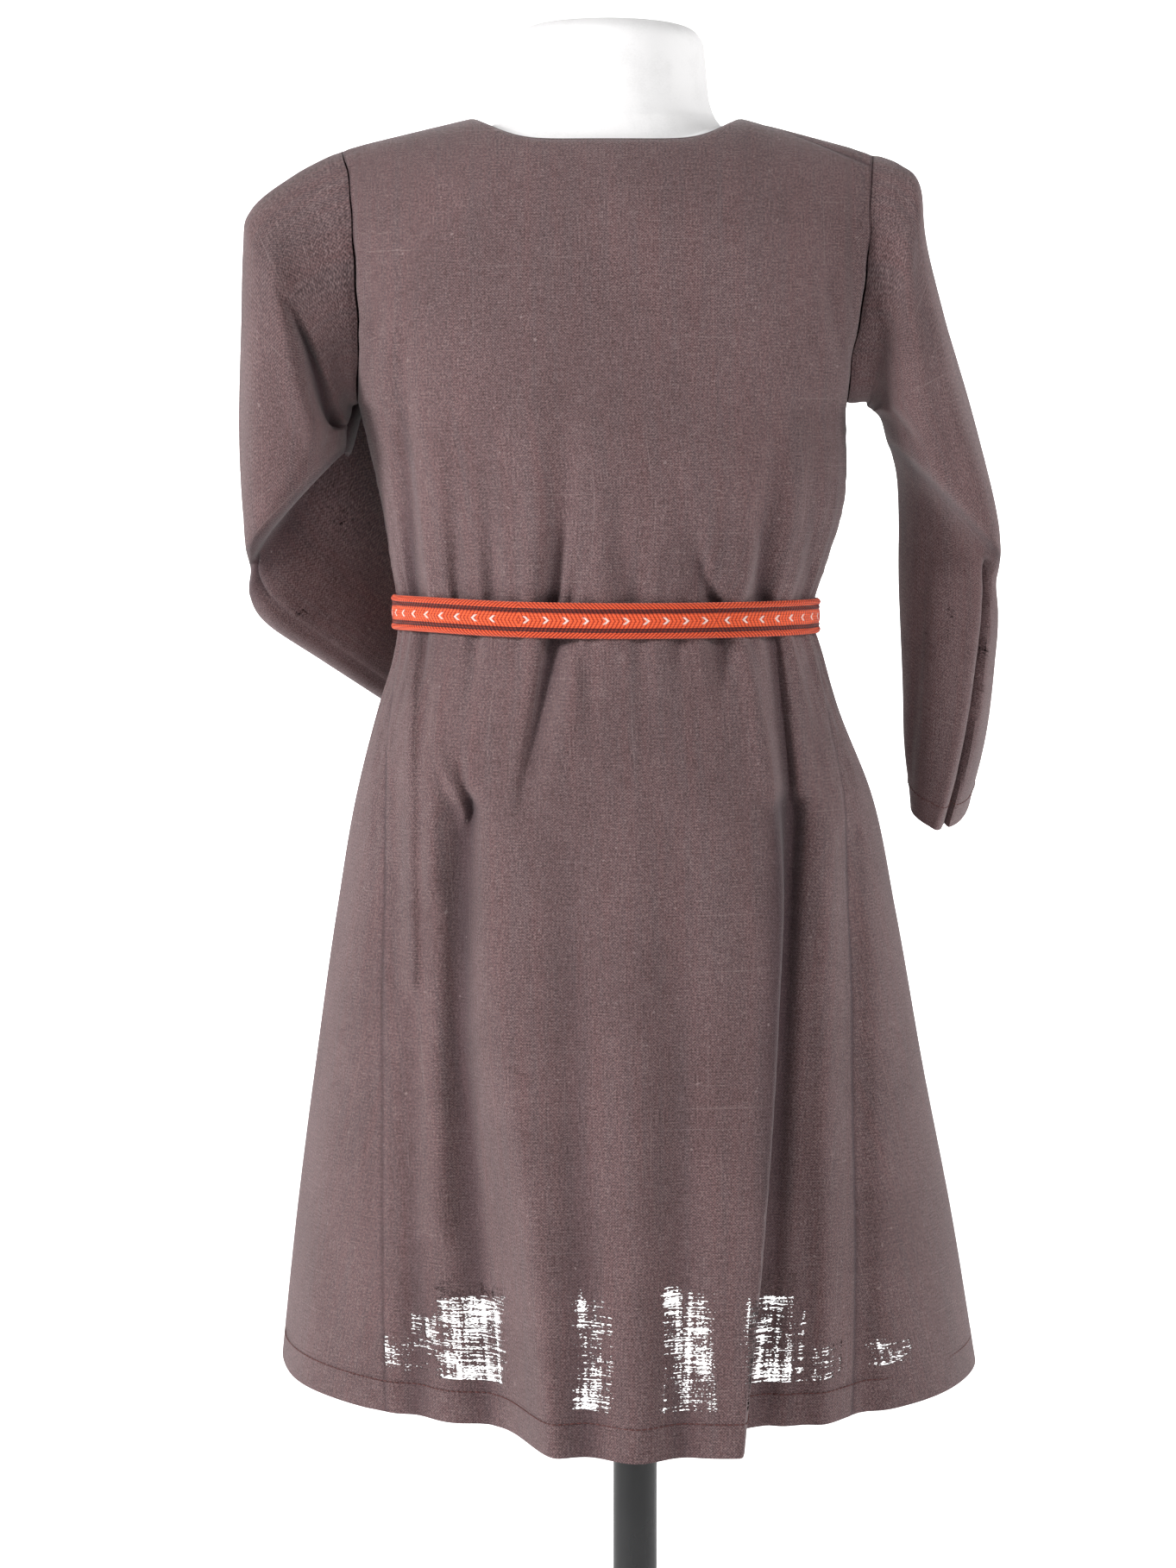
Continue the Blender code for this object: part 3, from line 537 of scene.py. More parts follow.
    def thinness(self, x: Grid, over_hem: Grid) -> Grid:
        """How thin the weave runs, from 0 to 1.

        Args:
            x: places across.
            over_hem: heights over the hem.

        Returns:
            The thinness at each place.
        """
        thin = np.zeros_like(x)
        for place in self.thin_places:
            from_left, from_right = place.left - x, x - place.right
            across = smooth_step(*self.thin_edge, from_left) * smooth_step(*self.thin_edge, from_right)
            up = 1.0 - smooth_step(place.high - self.thin_fade, place.high, over_hem)
            thin = np.maximum(thin, place.share * across * up)
        return thin

    def bulge_rise(self, x: Grid, z: Grid, bulges: Sequence[Bulge], edges: tuple[float, float]) -> Grid:
        """How far the skirt's middle stands proud.

        Args:
            x: places across.
            z: heights.
            bulges: the rows of the bulge.
            edges: how soft its left and right edges are.

        Returns:
            The rise at each place.
        """
        left, right = (along(bulges, "z", name, z) for name in ("left", "right"))
        rise = along(bulges, "z", "rise", z) * (z <= bulges[-1].z)
        inside = smooth_step(-edges[0], edges[0], left - x) * smooth_step(-edges[1], edges[1], x - right)
        return rise * inside

    def surface(self, theta: Grid, v: Grid) -> Grid:
        """The cloth's outer face with its folds.

        Args:
            theta: degrees round.
            v: height, as plain takes it.

        Returns:
            Points in millimetres.
        """
        points = self.plain(theta, v)
        x, y, z = points[..., 0], points[..., 1], points[..., 2]
        edges = (self.bulge_edge_left, self.bulge_edge_right)
        backward = self.bulge_rise(x, z, self.back_bulge, edges) - self.crease_depth(x, z, self.back_folds)
        soft = (self.bulge_edge_front, self.bulge_edge_front)
        forward = self.bulge_rise(x, z, self.front_bulge, soft) - self.crease_depth(x, z, self.front_folds)
        near_belt = np.exp(-np.abs(z - self.waist_z) / self.gather_reach) * (np.abs(z - self.waist_z) > 1.0)
        gathers = self.gather_depth * near_belt * (ripple(theta * self.gather_wave, 1.0) - 0.6)
        facing = smooth_step(0.0, 0.6, np.abs(np.sin(np.radians(theta))))
        pressed = 1.0 - np.exp(-(((z - self.waist_z) / self.belt_press) ** 4))
        backward = np.minimum(backward, 0.0) + np.maximum(backward, 0.0) * pressed
        forward = np.minimum(forward, 0.0) + np.maximum(forward, 0.0) * pressed
        moved = np.where(y >= 0, backward, -forward) * facing
        lap = along(self.back_bulge, "z", "lap", z) * (z <= self.back_bulge[-1].z) * (y > 0)
        edge = along(self.back_bulge, "z", "right", z)
        slide = lap * np.exp(-(((x - edge - self.lap_offset) / self.lap_reach) ** 2))
        outward = unit(np.stack([x - self.middle_x, y, np.zeros_like(x)], axis=-1))
        return np.stack([x - slide, y + moved, z], axis=-1) + outward * gathers[..., None]

    def normals(self, theta: Grid, v: Grid, low: Grid | float = -400.0, high: Grid | float = 400.0) -> Grid:
        """Outward normals of the cloth.

        Args:
            theta: degrees round.
            v: height, as plain takes it.
            low: the least theta that a step may reach.
            high: the most.

        Returns:
            A unit normal for each point.
        """
        step = 0.25
        before, after = np.maximum(theta - step, low), np.minimum(theta + step, high)
        across = self.surface(after, v) - self.surface(before, v)
        upward = self.surface(theta, v + step) - self.surface(theta, v - step)
        return unit(np.cross(across, upward))


def weld(piece: Piece, apart: float, tidy_faces: bool = False) -> None:
    """Joins points that lie together.

    Args:
        piece: a mesh object.
        apart: how far apart such points are at most, in metres.
        tidy_faces: whether faces without area go too, and the others are turned outwards.
    """
    work = bmesh.new()
    work.from_mesh(piece.data)
    bmesh.ops.remove_doubles(work, verts=work.verts, dist=apart)
    if tidy_faces:
        bmesh.ops.dissolve_degenerate(work, edges=work.edges, dist=0.1 * apart)
        bmesh.ops.recalc_face_normals(work, faces=work.faces)
    work.to_mesh(piece.data)
    work.free()


def new_piece(
    name: str,
    points: Grid,
    faces: Sequence,
    uv: Grid | None,
    material: Material,
    wrap: float = 0.0,
    marks: dict[str, Grid] | None = None,
) -> Piece:
    """A mesh object from points in millimetres.

    Args:
        name: the piece's name.
        points: its vertices.
        faces: its faces.
        uv: a place in the cloth, in metres, for each vertex, or None.
        material: its finish.
        wrap: how long the cloth is round a closed ring of quads, in metres, or 0.
        marks: named values for each vertex, which the finish reads.

    Returns:
        The new object, linked and shaded smooth.
    """
    mesh = bpy.data.meshes.new(name)
    mesh.from_pydata((np.asarray(points, float) * MM).tolist(), [], [tuple(int(i) for i in f) for f in faces])
    mesh.materials.append(material)
    if uv is not None:
        layer = mesh.uv_layers.new(name="Cloth")
        corner = np.empty(len(mesh.loops), np.int32)
        mesh.loops.foreach_get("vertex_index", corner)
        places = uv[corner]
        if wrap:
            u = places[:, 0].reshape(-1, 4)
            over = (np.ptp(u, axis=1) > 0.5 * wrap)[:, None] & (u < 0.5 * wrap)
            places[:, 0] = (u + wrap * over).ravel()
        layer.uv.foreach_set("vector", places.astype(np.float32).ravel())
    for label, values in (marks or {}).items():
        mark = mesh.attributes.new(label, "FLOAT", "POINT")
        mark.data.foreach_set("value", np.asarray(values, np.float32).ravel())
    work = bmesh.new()
    work.from_mesh(mesh)
    bmesh.ops.recalc_face_normals(work, faces=work.faces)
    work.to_mesh(mesh)
    work.free()
    mesh.shade_smooth()
    mesh.set_sharp_from_angle(angle=math.radians(SHARP_ANGLE))
    piece = bpy.data.objects.new(name, mesh)
    bpy.context.scene.collection.objects.link(piece)
    LOG.info("%s: %d faces", name, len(mesh.polygons))
    return piece


def grid_faces(rows: int, columns: int, closed: bool, start: int = 0) -> Grid:
    """Quads of a grid.

    Args:
        rows: rows of points.
        columns: points in a row.
        closed: whether each row closes on itself.
        start: the first point's number.

    Returns:
        The quads' point numbers.
    """
    last = columns if closed else columns - 1
    r, c = np.meshgrid(np.arange(rows - 1), np.arange(last), indexing="ij")
    a = (start + r * columns + c).ravel()
    b = (start + r * columns + (c + 1) % columns).ravel()
    return np.stack([a, b, b + columns, a + columns], axis=1)


def shell_faces(rows: int, columns: int, closed: bool) -> Grid:
    """Quads of a wall of two grids, joined along their edges.

    Args:
        rows: rows of each grid.
        columns: points in a row.
        closed: whether each row closes on itself.

    Returns:
        The quads' point numbers.
    """
    layer = rows * columns
    outer = grid_faces(rows, columns, closed)
    parts = [outer, outer[:, ::-1] + layer]
    last = columns if closed else columns - 1
    c = np.arange(last)
    for row in (0, rows - 1):
        a, b = row * columns + c, row * columns + (c + 1) % columns
        parts.append(np.stack([a, b, b + layer, a + layer], axis=1))
    if not closed:
        r = np.arange(rows - 1) * columns
        for column in (0, columns - 1):
            a = r + column
            parts.append(np.stack([a, a + columns, a + columns + layer, a + layer], axis=1))
    return np.concatenate(parts)


def wall(
    name: str,
    outer: Grid,
    inner: Grid,
    places: Grid,
    material: Material,
    wrap: float = 0.0,
    marks: dict[str, Grid] | None = None,
) -> Piece:
    """A piece with an outer and an inner face, closed along its edges.

    Args:
        name: the piece's name.
        outer: the outer face, a grid of points in millimetres.
        inner: the inner face, a grid of the same size.
        places: where each point lies in the cloth, in metres.
        material: its finish.
        wrap: how long the cloth is round a closed ring, in metres, or 0 for an open piece.
        marks: named values for each point of a face.

    Returns:
        The piece.
    """
    points = np.concatenate([outer.reshape(-1, 3), inner.reshape(-1, 3)])
    uv = np.tile(places.reshape(-1, 2), (2, 1))
    named = {label: np.tile(np.ravel(values), 2) for label, values in (marks or {}).items()}
    return new_piece(name, points, shell_faces(*outer.shape[:2], wrap > 0.0), uv, material, wrap, named)


def settle(piece: Piece, node: str | None = None) -> Piece:
    """Lets a piece ride on the body and hides the solid that it stands for.

    Args:
        piece: the piece.
        node: the solid that it stands for, or None.

    Returns:
        The same piece.
    """
    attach(piece, BODY)
    if node is not None:
        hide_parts(node)
    return piece


def edge_distances(points: Grid) -> tuple[Grid, Grid, Grid]:
    """How far each point of a piece lies from its edges.

    Args:
        points: a grid of points in millimetres, from the foot up.

    Returns:
        The distances from the nearer side, from the foot and from the top.
    """
    run = np.cumsum(np.linalg.norm(np.diff(points, axis=1, prepend=points[:, :1]), axis=-1), axis=1)
    rise = np.cumsum(np.linalg.norm(np.diff(points, axis=0, prepend=points[:1]), axis=-1), axis=0)
    return np.minimum(run, run[:, -1:] - run), rise, rise[-1:] - rise


def cloth_places(points: Grid, middle: int) -> Grid:
    """Where each point lies in the flat cloth: metres across from the middle column, and up.

    Args:
        points: a grid of points in millimetres, from the foot up.
        middle: the column that the grain follows.

    Returns:
        A place for each point.
    """
    across = np.linalg.norm(np.diff(points, axis=1), axis=-1)
    u = np.concatenate([np.zeros((len(points), 1)), np.cumsum(across, axis=1)], axis=1)
    step = np.linalg.norm(np.diff(points[:, middle], axis=0), axis=-1)
    v = np.concatenate([[0.0], np.cumsum(step)])
    return np.stack(np.broadcast_arrays(u - u[:, middle : middle + 1], v[:, None]), axis=-1) * MM


class Nodes:
    """A node tree under construction."""

    def __init__(self, tree: bpy.types.NodeTree) -> None:
        """Takes the tree to build in."""
        self.tree = tree

    def add(self, kind: str, inputs: dict | None = None, **settings: object) -> bpy.types.Node:
        """A node, with its settings and its inputs.

        Args:
            kind: the node's type.
            inputs: a value or an output to link, for each input's name or number.
            settings: the node's own properties.

        Returns:
            The new node.
        """
        node = self.tree.nodes.new(kind)
        for name, value in settings.items():
            setattr(node, name, value)
        self.fill(node, inputs or {})
        return node

    def fill(self, node: bpy.types.Node, inputs: dict) -> None:
        """Sets a node's inputs, or links them where the value is an output."""
        for name, value in inputs.items():
            if isinstance(value, Socket):
                self.tree.links.new(value, node.inputs[name])
            else:
                node.inputs[name].default_value = value

    def math(self, operation: str, *values: object, clamp: bool = False) -> Socket:
        """The result of a Math node."""
        node = self.add("ShaderNodeMath", dict(enumerate(values)), operation=operation, use_clamp=clamp)
        return node.outputs[0]

    def plus(self, first: object, second: object) -> Socket:
        """Two values added."""
        return self.math("ADD", first, second)

    def minus(self, first: object, second: object, clamp: bool = False) -> Socket:
        """The second value taken from the first."""
        return self.math("SUBTRACT", first, second, clamp=clamp)

    def times(self, first: object, second: object, clamp: bool = False) -> Socket:
        """Two values multiplied."""
        return self.math("MULTIPLY", first, second, clamp=clamp)

    def wave(self, at: object) -> Socket:
        """A sine that crosses zero at each whole number."""
        return self.math("SINE", self.times(at, math.pi))

    def within(self, value: object, low: float, high: float) -> Socket:
        """1 where a value lies between two limits, or else 0."""
        return self.times(self.math("GREATER_THAN", value, low), self.math("LESS_THAN", value, high))

    def mixture(self, *parts: tuple[object, float, float]) -> Socket:
        """A sum of values that vary.

        Args:
            parts: each value, the middle that is taken from it and its weight.

        Returns:
            The sum.
        """
        weighed = [self.times(self.minus(value, middle), weight) for value, middle, weight in parts]
        total = weighed[0]
        for value in weighed[1:]:
            total = self.plus(total, value)
        return total

    def ramp(
        self, value: object, low: float, high: float, to: tuple[float, float] = (0.0, 1.0)
    ) -> Socket:
        """A soft step of a value between two limits."""
        inputs = {"Value": value, "From Min": low, "From Max": high, "To Min": to[0], "To Max": to[1]}
        return self.add("ShaderNodeMapRange", inputs, interpolation_type="SMOOTHSTEP").outputs["Result"]

    def noise(self, place: object, scale: Triple, detail: float = 2.0) -> Socket:
        """Noise whose grain differs along each axis."""
        mapped = self.add("ShaderNodeVectorMath", {0: place, 1: scale}, operation="MULTIPLY").outputs[0]
        node = self.add("ShaderNodeTexNoise", {"Vector": mapped, "Scale": 1.0, "Detail": detail})
        return node.outputs["Fac"]

    def bump(self, height: object, distance: float, strength: float) -> Socket:
        """The normal of a fine relief."""
        relief = {"Height": height, "Distance": distance, "Strength": strength}
        return self.add("ShaderNodeBump", relief).outputs[0]

    def blend(self, share: object, first: object, second: object, mode: str = "MIX") -> Socket:
        """Two colours mixed."""
        inputs = {0: share, 6: first, 7: second}
        return self.add("ShaderNodeMix", inputs, data_type="RGBA", blend_type=mode).outputs[2]


def new_group(
    name: str, inputs: dict[str, tuple[str, object]], outputs: dict[str, str]
) -> tuple[bpy.types.NodeTree, Nodes, bpy.types.Node]:
    """An empty shader group with named sockets.

    Args:
        name: the group's name.
        inputs: socket kind and first value for each input.
        outputs: socket kind for each output.

    Returns:
        The group, its node builder and its input node.
    """
    tree = bpy.data.node_groups.new(name, "ShaderNodeTree")
    for label, (kind, value) in inputs.items():
        socket = tree.interface.new_socket(label, in_out="INPUT", socket_type=kind)
        if value is not None:
            socket.default_value = value
    for label, kind in outputs.items():
        tree.interface.new_socket(label, in_out="OUTPUT", socket_type=kind)
    nodes = Nodes(tree)
    return tree, nodes, nodes.add("NodeGroupInput")


FLOAT, VECTOR = "NodeSocketFloat", "NodeSocketVector"


@dataclass(frozen=True)
class WeaveGrain:
    """How often each unevenness of the weave comes in a metre, across and along the warp."""

    fine_warp: Triple = (1250.0, 110.0, 1.0)
    fine_weft: Triple = (100.0, 1350.0, 1.0)
    grain: Triple = (950.0, 1150.0, 1.0)
    broad_warp: Triple = (210.0, 9.0, 1.0)
    slub_warp: Triple = (760.0, 9.0, 1.0)
    slub_weft: Triple = (11.0, 760.0, 1.0)
    gaps: Triple = (780.0, 1350.0, 1.0)
    gap_weft: Triple = (60.0, 1150.0, 1.0)
    gap_warp: Triple = (330.0, 16.0, 1.0)
    rungs: Triple = (22.0, 300.0, 1.0)
    gap_patches: Triple = (52.0, 30.0, 1.0)
    tint_weights: Triple = (0.35, 0.65, 0.14)
    tint_span: tuple[float, float] = (0.35, 0.65)
    shade_weights: tuple[float, ...] = (0.9, 0.9, 2.4, 0.34)
    slub_edge: tuple[float, float] = (0.70, 0.77)
    rung_edge: tuple[float, float] = (0.64, 0.70)
    rung_share: float = 0.25
    patch_share: float = 0.62
    closed: float = 1.47
    opened: float = 0.60
    hole_edge: tuple[float, float] = (-0.02, 0.03)


def weave_group() -> bpy.types.NodeTree:
    """Plain linen weave: threads of uneven thickness, with gaps where they run thin.

    Returns:
        A group that gives which thread is on top, the shade, the slubs, the cover and a height.
    """
    grain = WeaveGrain()
    inputs = {"Place": (VECTOR, None), "Threads": (FLOAT, 1450.0), "Thin": (FLOAT, 0.5), "Slub": (FLOAT, 0.5)}
    outputs = {"Warp": FLOAT, "Shade": FLOAT, "Slubs": FLOAT, "Cover": FLOAT, "Height": FLOAT}
    tree, n, given = new_group("plain weave", inputs, outputs)
    place, threads = given.outputs["Place"], given.outputs["Threads"]
    split = n.add("ShaderNodeSeparateXYZ", {0: place})
    over = n.times(n.wave(n.times(split.outputs[0], threads)), n.wave(n.times(split.outputs[1], threads)))
    fine_warp, fine_weft = n.noise(place, grain.fine_warp), n.noise(place, grain.fine_weft)
    speckle = n.noise(place, grain.grain, 1.0)
    broad_warp = n.noise(place, grain.broad_warp)
    tint = n.mixture(*zip((broad_warp, speckle, over), (0.0, 0.0, 0.0), grain.tint_weights))
    warp = n.ramp(tint, *grain.tint_span)
    parts = (fine_warp, fine_weft, speckle, over)
    shade = n.mixture(*zip(parts, (0.5, 0.5, 0.5, 0.0), grain.shade_weights))
    slub_warp = n.ramp(n.noise(place, grain.slub_warp, 1.0), *grain.slub_edge)
    slub_weft = n.ramp(n.noise(place, grain.slub_weft, 1.0), *grain.slub_edge)
    slubs = n.times(n.math("MAXIMUM", slub_warp, slub_weft), given.outputs["Slub"])
    loose = n.mixture(
        (n.noise(place, grain.gaps, 1.0), 0.0, 0.60),
        (n.noise(place, grain.gap_weft, 1.0), 0.0, 0.62),
        (n.noise(place, grain.gap_warp, 1.0), 0.0, 0.50),
        (n.ramp(n.noise(place, grain.rungs, 1.0), *grain.rung_edge), 0.0, -grain.rung_share),
        (n.noise(place, grain.gap_patches), 0.5, grain.patch_share),
    )
    limit = n.minus(grain.closed, n.times(given.outputs["Thin"], grain.opened))
    hole = n.ramp(n.minus(loose, limit), *grain.hole_edge)
    height = n.plus(n.times(n.math("ABSOLUTE", over), 0.5), n.plus(shade, slubs))
    links = {"Warp": warp, "Shade": shade, "Slubs": slubs, "Cover": n.minus(1.0, hole), "Height": height}
    n.add("NodeGroupOutput", links)
    return tree


def wear_group() -> bpy.types.NodeTree:
    """Uneven tone over an area: soft patches and faint lint.

    Returns:
        A group that gives a patch mask and a lint mask.
    """
    inputs = {"Place": (VECTOR, None), "Patch Size": (FLOAT, 0.06)}
    tree, n, given = new_group("uneven tone", inputs, {"Patches": FLOAT, "Lint": FLOAT})
    scale = n.math("DIVIDE", 1.0, given.outputs["Patch Size"])
    place = given.outputs["Place"]
    scaled = n.add("ShaderNodeVectorMath", {0: place, 3: scale}, operation="SCALE").outputs[0]
    patches = n.noise(scaled, (1.0, 1.0, 1.0), 3.0)
    lint = n.ramp(n.noise(place, (330.0, 330.0, 330.0), 1.0), 0.765, 0.785)
    n.add("NodeGroupOutput", {"Patches": n.ramp(patches, 0.3, 0.7), "Lint": lint})
    return tree


@dataclass
class Groups:
    """The shader groups that the finishes share."""

    weave: bpy.types.NodeTree = field(default_factory=weave_group)
    wear: bpy.types.NodeTree = field(default_factory=wear_group)


def principled(name: str) -> tuple[Material, Nodes, bpy.types.Node]:
    """A new material.

    Args:
        name: the material's name.

    Returns:
        The material, its node builder and its Principled shader.
    """
    material = bpy.data.materials.new(name)
    material.use_nodes = True
    nodes = Nodes(material.node_tree)
    return material, nodes, material.node_tree.nodes["Principled BSDF"]


@dataclass(frozen=True)
class Linen:
    """Brown linen, woven from threads of two near colours, with gaps that let the light through, painted
    shade in its folds and dark lines at its seams.
    """

    warp: Colour = (0.158, 0.084, 0.085, 1.0)
    weft: Colour = (0.128, 0.091, 0.095, 1.0)
    slub: Colour = (0.345, 0.262, 0.258, 1.0)
    deep: Colour = (0.070, 0.042, 0.044, 1.0)
    shade_and_seam: Colour = (0.042, 0.025, 0.031, 1.0)
    roughness: float = 0.9
    sheen: float = 0.22
    threads: float = 1450.0
    turned_hem: float = 0.0225
    fold_dark: float = 0.66
    patch_size: float = 0.05
    light_share: float = 0.7
    dark_share: float = 1.6
    slub_share: float = 0.22
    lint_share: float = 0.5
    tone: tuple[float, float] = (0.93, 1.06)
    fold_edge: tuple[float, float] = (0.10, 1.15)
    relief: float = 0.0003

    def make(self, name: str, groups: Groups) -> Material:
        """The finish.

        Args:
            name: the material's name.
            groups: the shared shader groups.

        Returns:
            The material.
        """
        material, n, shader = principled(name)
        place = n.add("ShaderNodeUVMap", uv_map="Cloth").outputs["UV"]
        height = n.add("ShaderNodeSeparateXYZ", {0: place}).outputs[1]
        thin = n.add("ShaderNodeAttribute", attribute_name="Thin").outputs["Fac"]
        # Painted shade in the folds and behind the elbows, with the dark seam lines, for each point.
        fold = n.add("ShaderNodeAttribute", attribute_name="Fold").outputs["Fac"]
        given = {"Place": place, "Threads": self.threads, "Thin": thin, "Slub": 1.0}
        weave = n.add("ShaderNodeGroup", given, node_tree=groups.weave)
        spot = n.add("ShaderNodeTexCoord").outputs["Object"]
        wear = n.add("ShaderNodeGroup", {"Place": spot, "Patch Size": self.patch_size}, node_tree=groups.wear)
        base = n.blend(weave.outputs["Warp"], self.weft, self.warp)
        base = n.blend(n.times(weave.outputs["Shade"], self.light_share, clamp=True), base, self.slub)
        base = n.blend(n.times(weave.outputs["Shade"], -self.dark_share, clamp=True), base, self.deep)
        base = n.blend(n.times(weave.outputs["Slubs"], self.slub_share, clamp=True), base, self.slub)
        # Painted shade: deep folds and the shadow behind each elbow darken towards the shade colour, and so
        # do the seam lines.
        base = n.blend(n.ramp(fold, *self.fold_edge, (0.0, self.fold_dark)), base, self.shade_and_seam)
        tone = n.ramp(wear.outputs["Patches"], 0.0, 1.0, self.tone)
        grey = n.add("ShaderNodeCombineColor", {0: tone, 1: tone, 2: tone}).outputs[0]
        base = n.blend(1.0, base, grey, "MULTIPLY")
        base = n.blend(n.times(wear.outputs["Lint"], self.lint_share), base, self.slub)
        cover = n.math("MAXIMUM", weave.outputs["Cover"], n.math("LESS_THAN", height, self.turned_hem))
        bump = n.bump(weave.outputs["Height"], self.relief, 0.5)
        n.fill(shader, {"Base Color": base, "Alpha": cover, "Roughness": self.roughness, "Normal": bump})
        n.fill(shader, {"Sheen Weight": self.sheen, "Sheen Roughness": 0.5, "Specular IOR Level": 0.15})
        return material


@dataclass(frozen=True)
class TabletWeave:
    """Orange tablet-woven wool with brown stripes and a row of pale chevrons, with painted shade between its
    cords.
    """

    orange: Colour = (1.0, 0.150, 0.050, 1.0)
    shadow: Colour = (0.46, 0.036, 0.016, 1.0)
    brown: Colour = (0.080, 0.014, 0.014, 1.0)
    rust: Colour = (0.28, 0.035, 0.020, 1.0)
    chevron: Colour = (0.95, 0.72, 0.66, 1.0)
    border: float = 0.17
    stripe: float = 0.30
    stripe_soft: float = 0.012
    wander: float = 0.03
    pitch: float = 0.0102
    chevron_lean: float = 0.022
    bar_edge: tuple[float, float] = (0.05, 0.10)
    chevron_edge: tuple[float, float] = (0.085, 0.11)
    twist_pitch: float = 0.0021
    field_slant: float = 0.010
    border_slant: float = 0.012
    cord_height: float = 0.068
    groove_shade: float = 1.2
    fuzz: Triple = (1900.0, 55.0, 1.0)

    def chevrons(
        self, n: Nodes, run: object, apart: object, sense: object, turn: float
    ) -> Socket:
        """The row of chevrons along the belt's middle, with one left out before they turn.

        Args:
            n: the material's node builder.
            run: the place along the belt.
            apart: how far from its middle, in shares of its height.
            sense: 1 or -1, the way that the chevrons point.
            turn: the place where they turn first.

        Returns:
            A mask that is 1 on a chevron.
        """
        lean = n.times(n.times(apart, sense), self.chevron_lean)
        cell = n.math("FRACT", n.math("DIVIDE", n.plus(run, lean), self.pitch))
        bar = n.ramp(n.math("ABSOLUTE", n.minus(cell, 0.5)), *self.bar_edge, (1.0, 0.0))
        mark = n.times(bar, n.ramp(apart, *self.chevron_edge, (1.0, 0.0)))
        return n.times(mark, n.minus(1.0, n.within(run, turn - self.pitch, turn)))

    def make(self, name: str, turns_at: tuple[float, float]) -> Material:
        """The finish.

        Args:
            name: the material's name.
            turns_at: the places along the belt between which the chevrons point the other way.

        Returns:
            The material.
        """
        material, n, shader = principled(name)
        place = n.add("ShaderNodeUVMap", uv_map="Cloth").outputs["UV"]
        split = n.add("ShaderNodeSeparateXYZ", {0: place})
        run, across = split.outputs[0], split.outputs[1]
        wander = n.mixture((n.noise(place, (90.0, 0.0, 1.0)), 0.5, self.wander))
        apart = n.math("ABSOLUTE", n.minus(n.plus(across, wander), 0.5))
        border = n.math("GREATER_THAN", apart, 0.5 - self.border)
        stripe_edge = 0.5 - self.stripe
        striped = n.ramp(apart, stripe_edge - self.stripe_soft, stripe_edge + self.stripe_soft)
        turn_back, turn_again = (round(at / self.pitch) * self.pitch for at in turns_at)
        sense = n.minus(n.times(n.within(run, turn_back, turn_again), 2.0), 1.0)
        mark = self.chevrons(n, run, apart, sense, turn_back)
        slope = n.plus(self.field_slant, n.times(border, self.border_slant))
        twist = n.math("DIVIDE", n.plus(run, n.times(n.times(apart, sense), slope)), self.twist_pitch)
        cords = n.math("ABSOLUTE", n.wave(twist))
        rows = n.math("ABSOLUTE", n.wave(n.math("DIVIDE", across, self.cord_height)))
        fuzz = n.mixture((n.noise(place, self.fuzz, 3.0), 0.5, 0.9))
        # The twist shows as dark lines between the cords: partly the weave's own look, partly painted shade
        # in the gaps and, at the borders, in the grooves.
        yarn = n.times(n.math("POWER", cords, 0.6), n.plus(0.55, n.times(rows, 0.45)))
        tight = n.plus(yarn, fuzz)
        groove = n.times(n.times(n.minus(1.0, cords), border), self.groove_shade)
        base = n.blend(n.minus(n.ramp(tight, 0.25, 0.85), groove, clamp=True), self.shadow, self.orange)
        stripes = n.times(striped, n.minus(1.0, border))
        base = n.blend(stripes, base, n.blend(n.ramp(tight, 0.5, 1.1), self.brown, self.rust))
        base = n.blend(mark, base, self.chevron)
        n.fill(shader, {"Base Color": base, "Roughness": 0.85, "Normal": n.bump(tight, 0.0007, 0.8)})
        n.fill(shader, {"Sheen Weight": 0.2, "Specular IOR Level": 0.15})
        return material


@dataclass(frozen=True)
class Thread:
    """Sewing thread."""

    colour: Colour = (0.075, 0.022, 0.020, 1.0)
    twist: Triple = (900.0, 900.0, 900.0)

    def make(self, name: str) -> Material:
        """The finish: twisted thread, a little uneven in tone."""
        material, n, shader = principled(name)
        spot = n.add("ShaderNodeTexCoord").outputs["Object"]
        tone = n.noise(spot, self.twist, 2.0)
        pale = tuple(min(1.0, 1.8 * c) for c in self.colour[:3]) + (1.0,)
        n.fill(shader, {"Base Color": n.blend(n.ramp(tone, 0.3, 0.7), self.colour, pale), "Roughness": 0.6})
        return material


@dataclass(frozen=True)
class FormCover:
    """The form's white cover: fine stockinet over a firm body, a little uneven."""

    white: Colour = (0.93, 0.92, 0.92, 1.0)
    shade: Colour = (0.87, 0.86, 0.86, 1.0)
    lumps: Triple = (70.0, 70.0, 55.0)
    knit: Triple = (900.0, 900.0, 1300.0)

    def make(self, name: str) -> Material:
        """The finish."""
        material, n, shader = principled(name)
        spot = n.add("ShaderNodeTexCoord").outputs["Object"]
        lumps = n.noise(spot, self.lumps, 4.0)
        knit = n.noise(spot, self.knit, 1.0)
        tone = n.ramp(n.plus(n.times(lumps, 0.7), n.times(knit, 0.3)), 0.3, 0.55)
        base = n.blend(tone, self.shade, self.white)
        bump = n.bump(n.plus(lumps, n.times(knit, 0.25)), 0.0005, 0.3)
        n.fill(shader, {"Base Color": base, "Roughness": 0.75, "Normal": bump})
        return material


